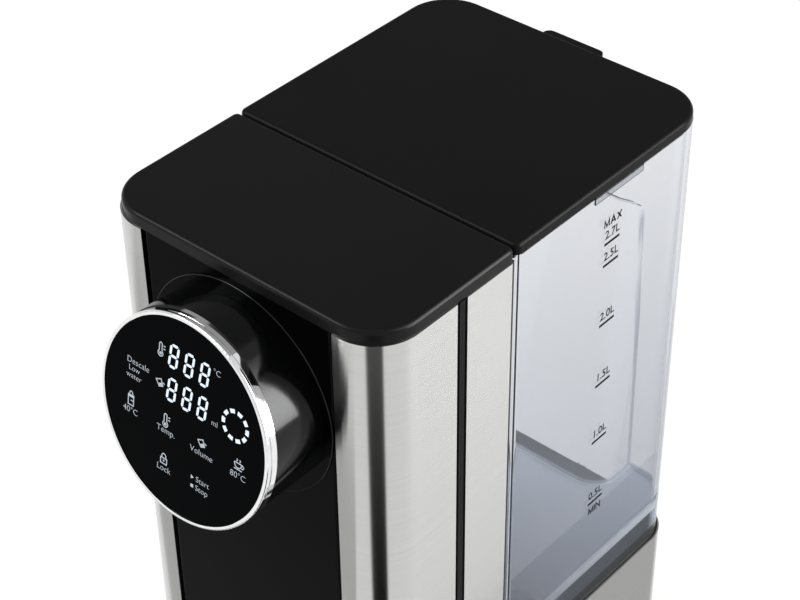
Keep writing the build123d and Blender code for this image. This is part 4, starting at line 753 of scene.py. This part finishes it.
# Upright cards: middle, the place they face, width and height
BACK_CARD = ((-0.83, 0.96, 1.29), TARGET, 2.4, 2.4)
BACK_TONE = 0.3
SOFTBOX = ((1.05, 0.58, 1.2), (0, 0, 1.2), 0.8, 2.4)
SOFTBOX_GLOW = [(0.0, 4.3), (0.3, 14.4), (0.55, 15.1), (0.8, 13), (1.4, 3.6), (2.0, 1.1), (2.4, 0.8)]

# Cards just above the floor: name, corners and tone
CARD_Z = 0.002
LOW_CARDS = [("front_card", rectangle(-0.42, -0.36, 0.0, -0.10), 0.6),
             ("corner_card", [(0.070, -0.067), (0.261, -0.651), (0.562, -0.410)], 0.0),
             # Painted shadow: the grey side card darkens the floor beside the object's right side where
             # reflections see it
             ("side_painted_shadow_card", rectangle(0.078, -0.10, 0.15, 0.40), 0.5)]


def light_area(name, place_at, power):
    """Soft square lamp that points at the target."""
    lamp = bpy.data.lights.new(name, "AREA")
    lamp.shape = "RECTANGLE"
    lamp.size = LAMP_SIZE
    lamp.size_y = LAMP_SIZE
    lamp.energy = power
    holder = bpy.data.objects.new(name, lamp)
    holder.location = place_at
    holder.rotation_euler = (Vector(TARGET) - Vector(place_at)).to_track_quat("-Z", "Y").to_euler()
    scene.collection.objects.link(holder)


def seen_directly(tree):
    """1 for rays of the camera, of reflections and through clear plastic, else 0."""
    path = tree.nodes.new("ShaderNodeLightPath")
    first = compute(tree, "MAXIMUM", path.outputs["Is Camera Ray"], path.outputs["Is Glossy Ray"])
    return compute(tree, "MAXIMUM", first, path.outputs["Is Transmission Ray"])


def set_world():
    """White surroundings, which light the object and show in it more softly than they look."""
    world = bpy.data.worlds.new("studio")
    scene.world = world
    tree = empty_tree(world)
    output = tree.nodes.new("ShaderNodeOutputWorld")
    path = tree.nodes.new("ShaderNodeLightPath")
    shown = tree.nodes.new("ShaderNodeBackground")
    white = blend(tree, path.outputs["Is Camera Ray"], REFLECTED_WHITE, WHITE)
    tree.links.new(white, shown.inputs["Color"])
    fill = tree.nodes.new("ShaderNodeBackground")
    fill.inputs["Color"].default_value = (*REFLECTED_WHITE, 1)
    fill.inputs["Strength"].default_value = FILL_STRENGTH
    both = mix_shaders(tree, seen_directly(tree), fill.outputs["Background"], shown.outputs["Background"])
    tree.links.new(both, output.inputs["Surface"])


def facing(center, aim, width, height):
    """Corners of a rectangle that faces a place."""
    turn = (Vector(aim) - Vector(center)).to_track_quat("Z", "Y").to_matrix()
    flat = rectangle(-width, -height, width, height)
    return [Vector(center) + turn @ Vector((x / 2, y / 2, 0)) for x, y in flat]


def flat_piece(name, corners, material):
    """Flat stage piece between corners."""
    data = bpy.data.meshes.new(name)
    data.from_pydata(corners, [], [tuple(range(len(corners)))])
    data.materials.append(material)
    piece = bpy.data.objects.new(name, data)
    scene.collection.objects.link(piece)
    return piece


def set_floor():
    """Pale floor that shows nearly white and keeps a soft shadow."""
    material, tree, surface = bare_material("floor")
    matt = tree.nodes.new("ShaderNodeBsdfDiffuse")
    matt.inputs["Color"].default_value = (*FLOOR_TONE, 1)
    white = tree.nodes.new("ShaderNodeEmission")
    white.inputs["Strength"].default_value = FLOOR_GLOW
    share = compute(tree, "MULTIPLY", seen_directly(tree), FLOOR_GLOW_SHARE)
    shown = mix_shaders(tree, share, matt.outputs["BSDF"], white.outputs["Emission"])
    tree.links.new(shown, surface)
    flat_piece("floor", facing((0, 0, 0), (0, 0, 1), FLOOR_SIZE, FLOOR_SIZE), material)


def strength_by_height(tree, pairs):
    """Strength along a smooth curve through pairs of a height and a strength, from the floor up."""
    top = pairs[-1][0]
    peak = max(strength for height, strength in pairs)
    ramp = tree.nodes.new("ShaderNodeFloatCurve")
    curve = ramp.mapping.curves[0]
    curve.points[0].location = (0, pairs[0][1] / peak)
    curve.points[1].location = (1, pairs[-1][1] / peak)
    for height, strength in pairs[1:-1]:
        curve.points.new(height / top, strength / peak)
    ramp.mapping.update()
    tree.links.new(share_along(tree, "Z", (0, top)), ramp.inputs["Value"])
    return compute(tree, "MULTIPLY", ramp.outputs["Value"], peak)


def card(name, corners, tone, pairs=None):
    """Card that only reflections show, as a photographer sets beside gloss and steel; the grey side card on
    the floor is painted shadow of the object. A tall card may change its light with height: pairs of a
    height and a strength."""
    material, tree, surface = bare_material(name)
    glow = tree.nodes.new("ShaderNodeEmission")
    glow.inputs["Color"].default_value = (tone, tone, tone, 1)
    tree.links.new(glow.outputs["Emission"], surface)
    if pairs:
        tree.links.new(strength_by_height(tree, pairs), glow.inputs["Strength"])
    piece = flat_piece(name, corners, material)
    piece.visible_camera = False
    piece.visible_diffuse = False
    piece.visible_shadow = False
    piece.visible_transmission = False


def set_studio():
    """World, floor, lamps and cards."""
    set_world()
    set_floor()
    for name, place_at, power in LAMPS:
        light_area(name, place_at, power)
    card("back_card", facing(*BACK_CARD), BACK_TONE)
    card("softbox", facing(*SOFTBOX), 1.0, SOFTBOX_GLOW)
    for name, corners, tone in LOW_CARDS:
        card(name, [(x, y, CARD_Z) for x, y in corners], tone)


def set_camera():
    """Camera at the fitted place and angles."""
    azimuth = radians(CAMERA_AZIMUTH)
    elevation = radians(CAMERA_ELEVATION)
    roll = radians(CAMERA_ROLL)
    right = Vector((cos(azimuth), sin(azimuth), 0))
    back = Vector((sin(azimuth) * cos(elevation), -cos(azimuth) * cos(elevation), sin(elevation)))
    up = back.cross(right)
    turned_right = right * cos(roll) + up * sin(roll)
    turned_up = up * cos(roll) - right * sin(roll)
    data = bpy.data.cameras.new("camera")
    data.lens = LENS_MM
    data.sensor_width = SENSOR_MM
    data.shift_x = SHIFT_X
    data.shift_y = SHIFT_Y
    data.clip_end = CLIP_END
    camera = bpy.data.objects.new("camera", data)
    camera.matrix_world = axes_matrix(CAMERA_PLACE, turned_right, turned_up, back)
    scene.collection.objects.link(camera)
    scene.camera = camera


dress_nodes()
dress_display()
dress_tank()
set_studio()
set_camera()
scene.view_settings.view_transform = "Standard"
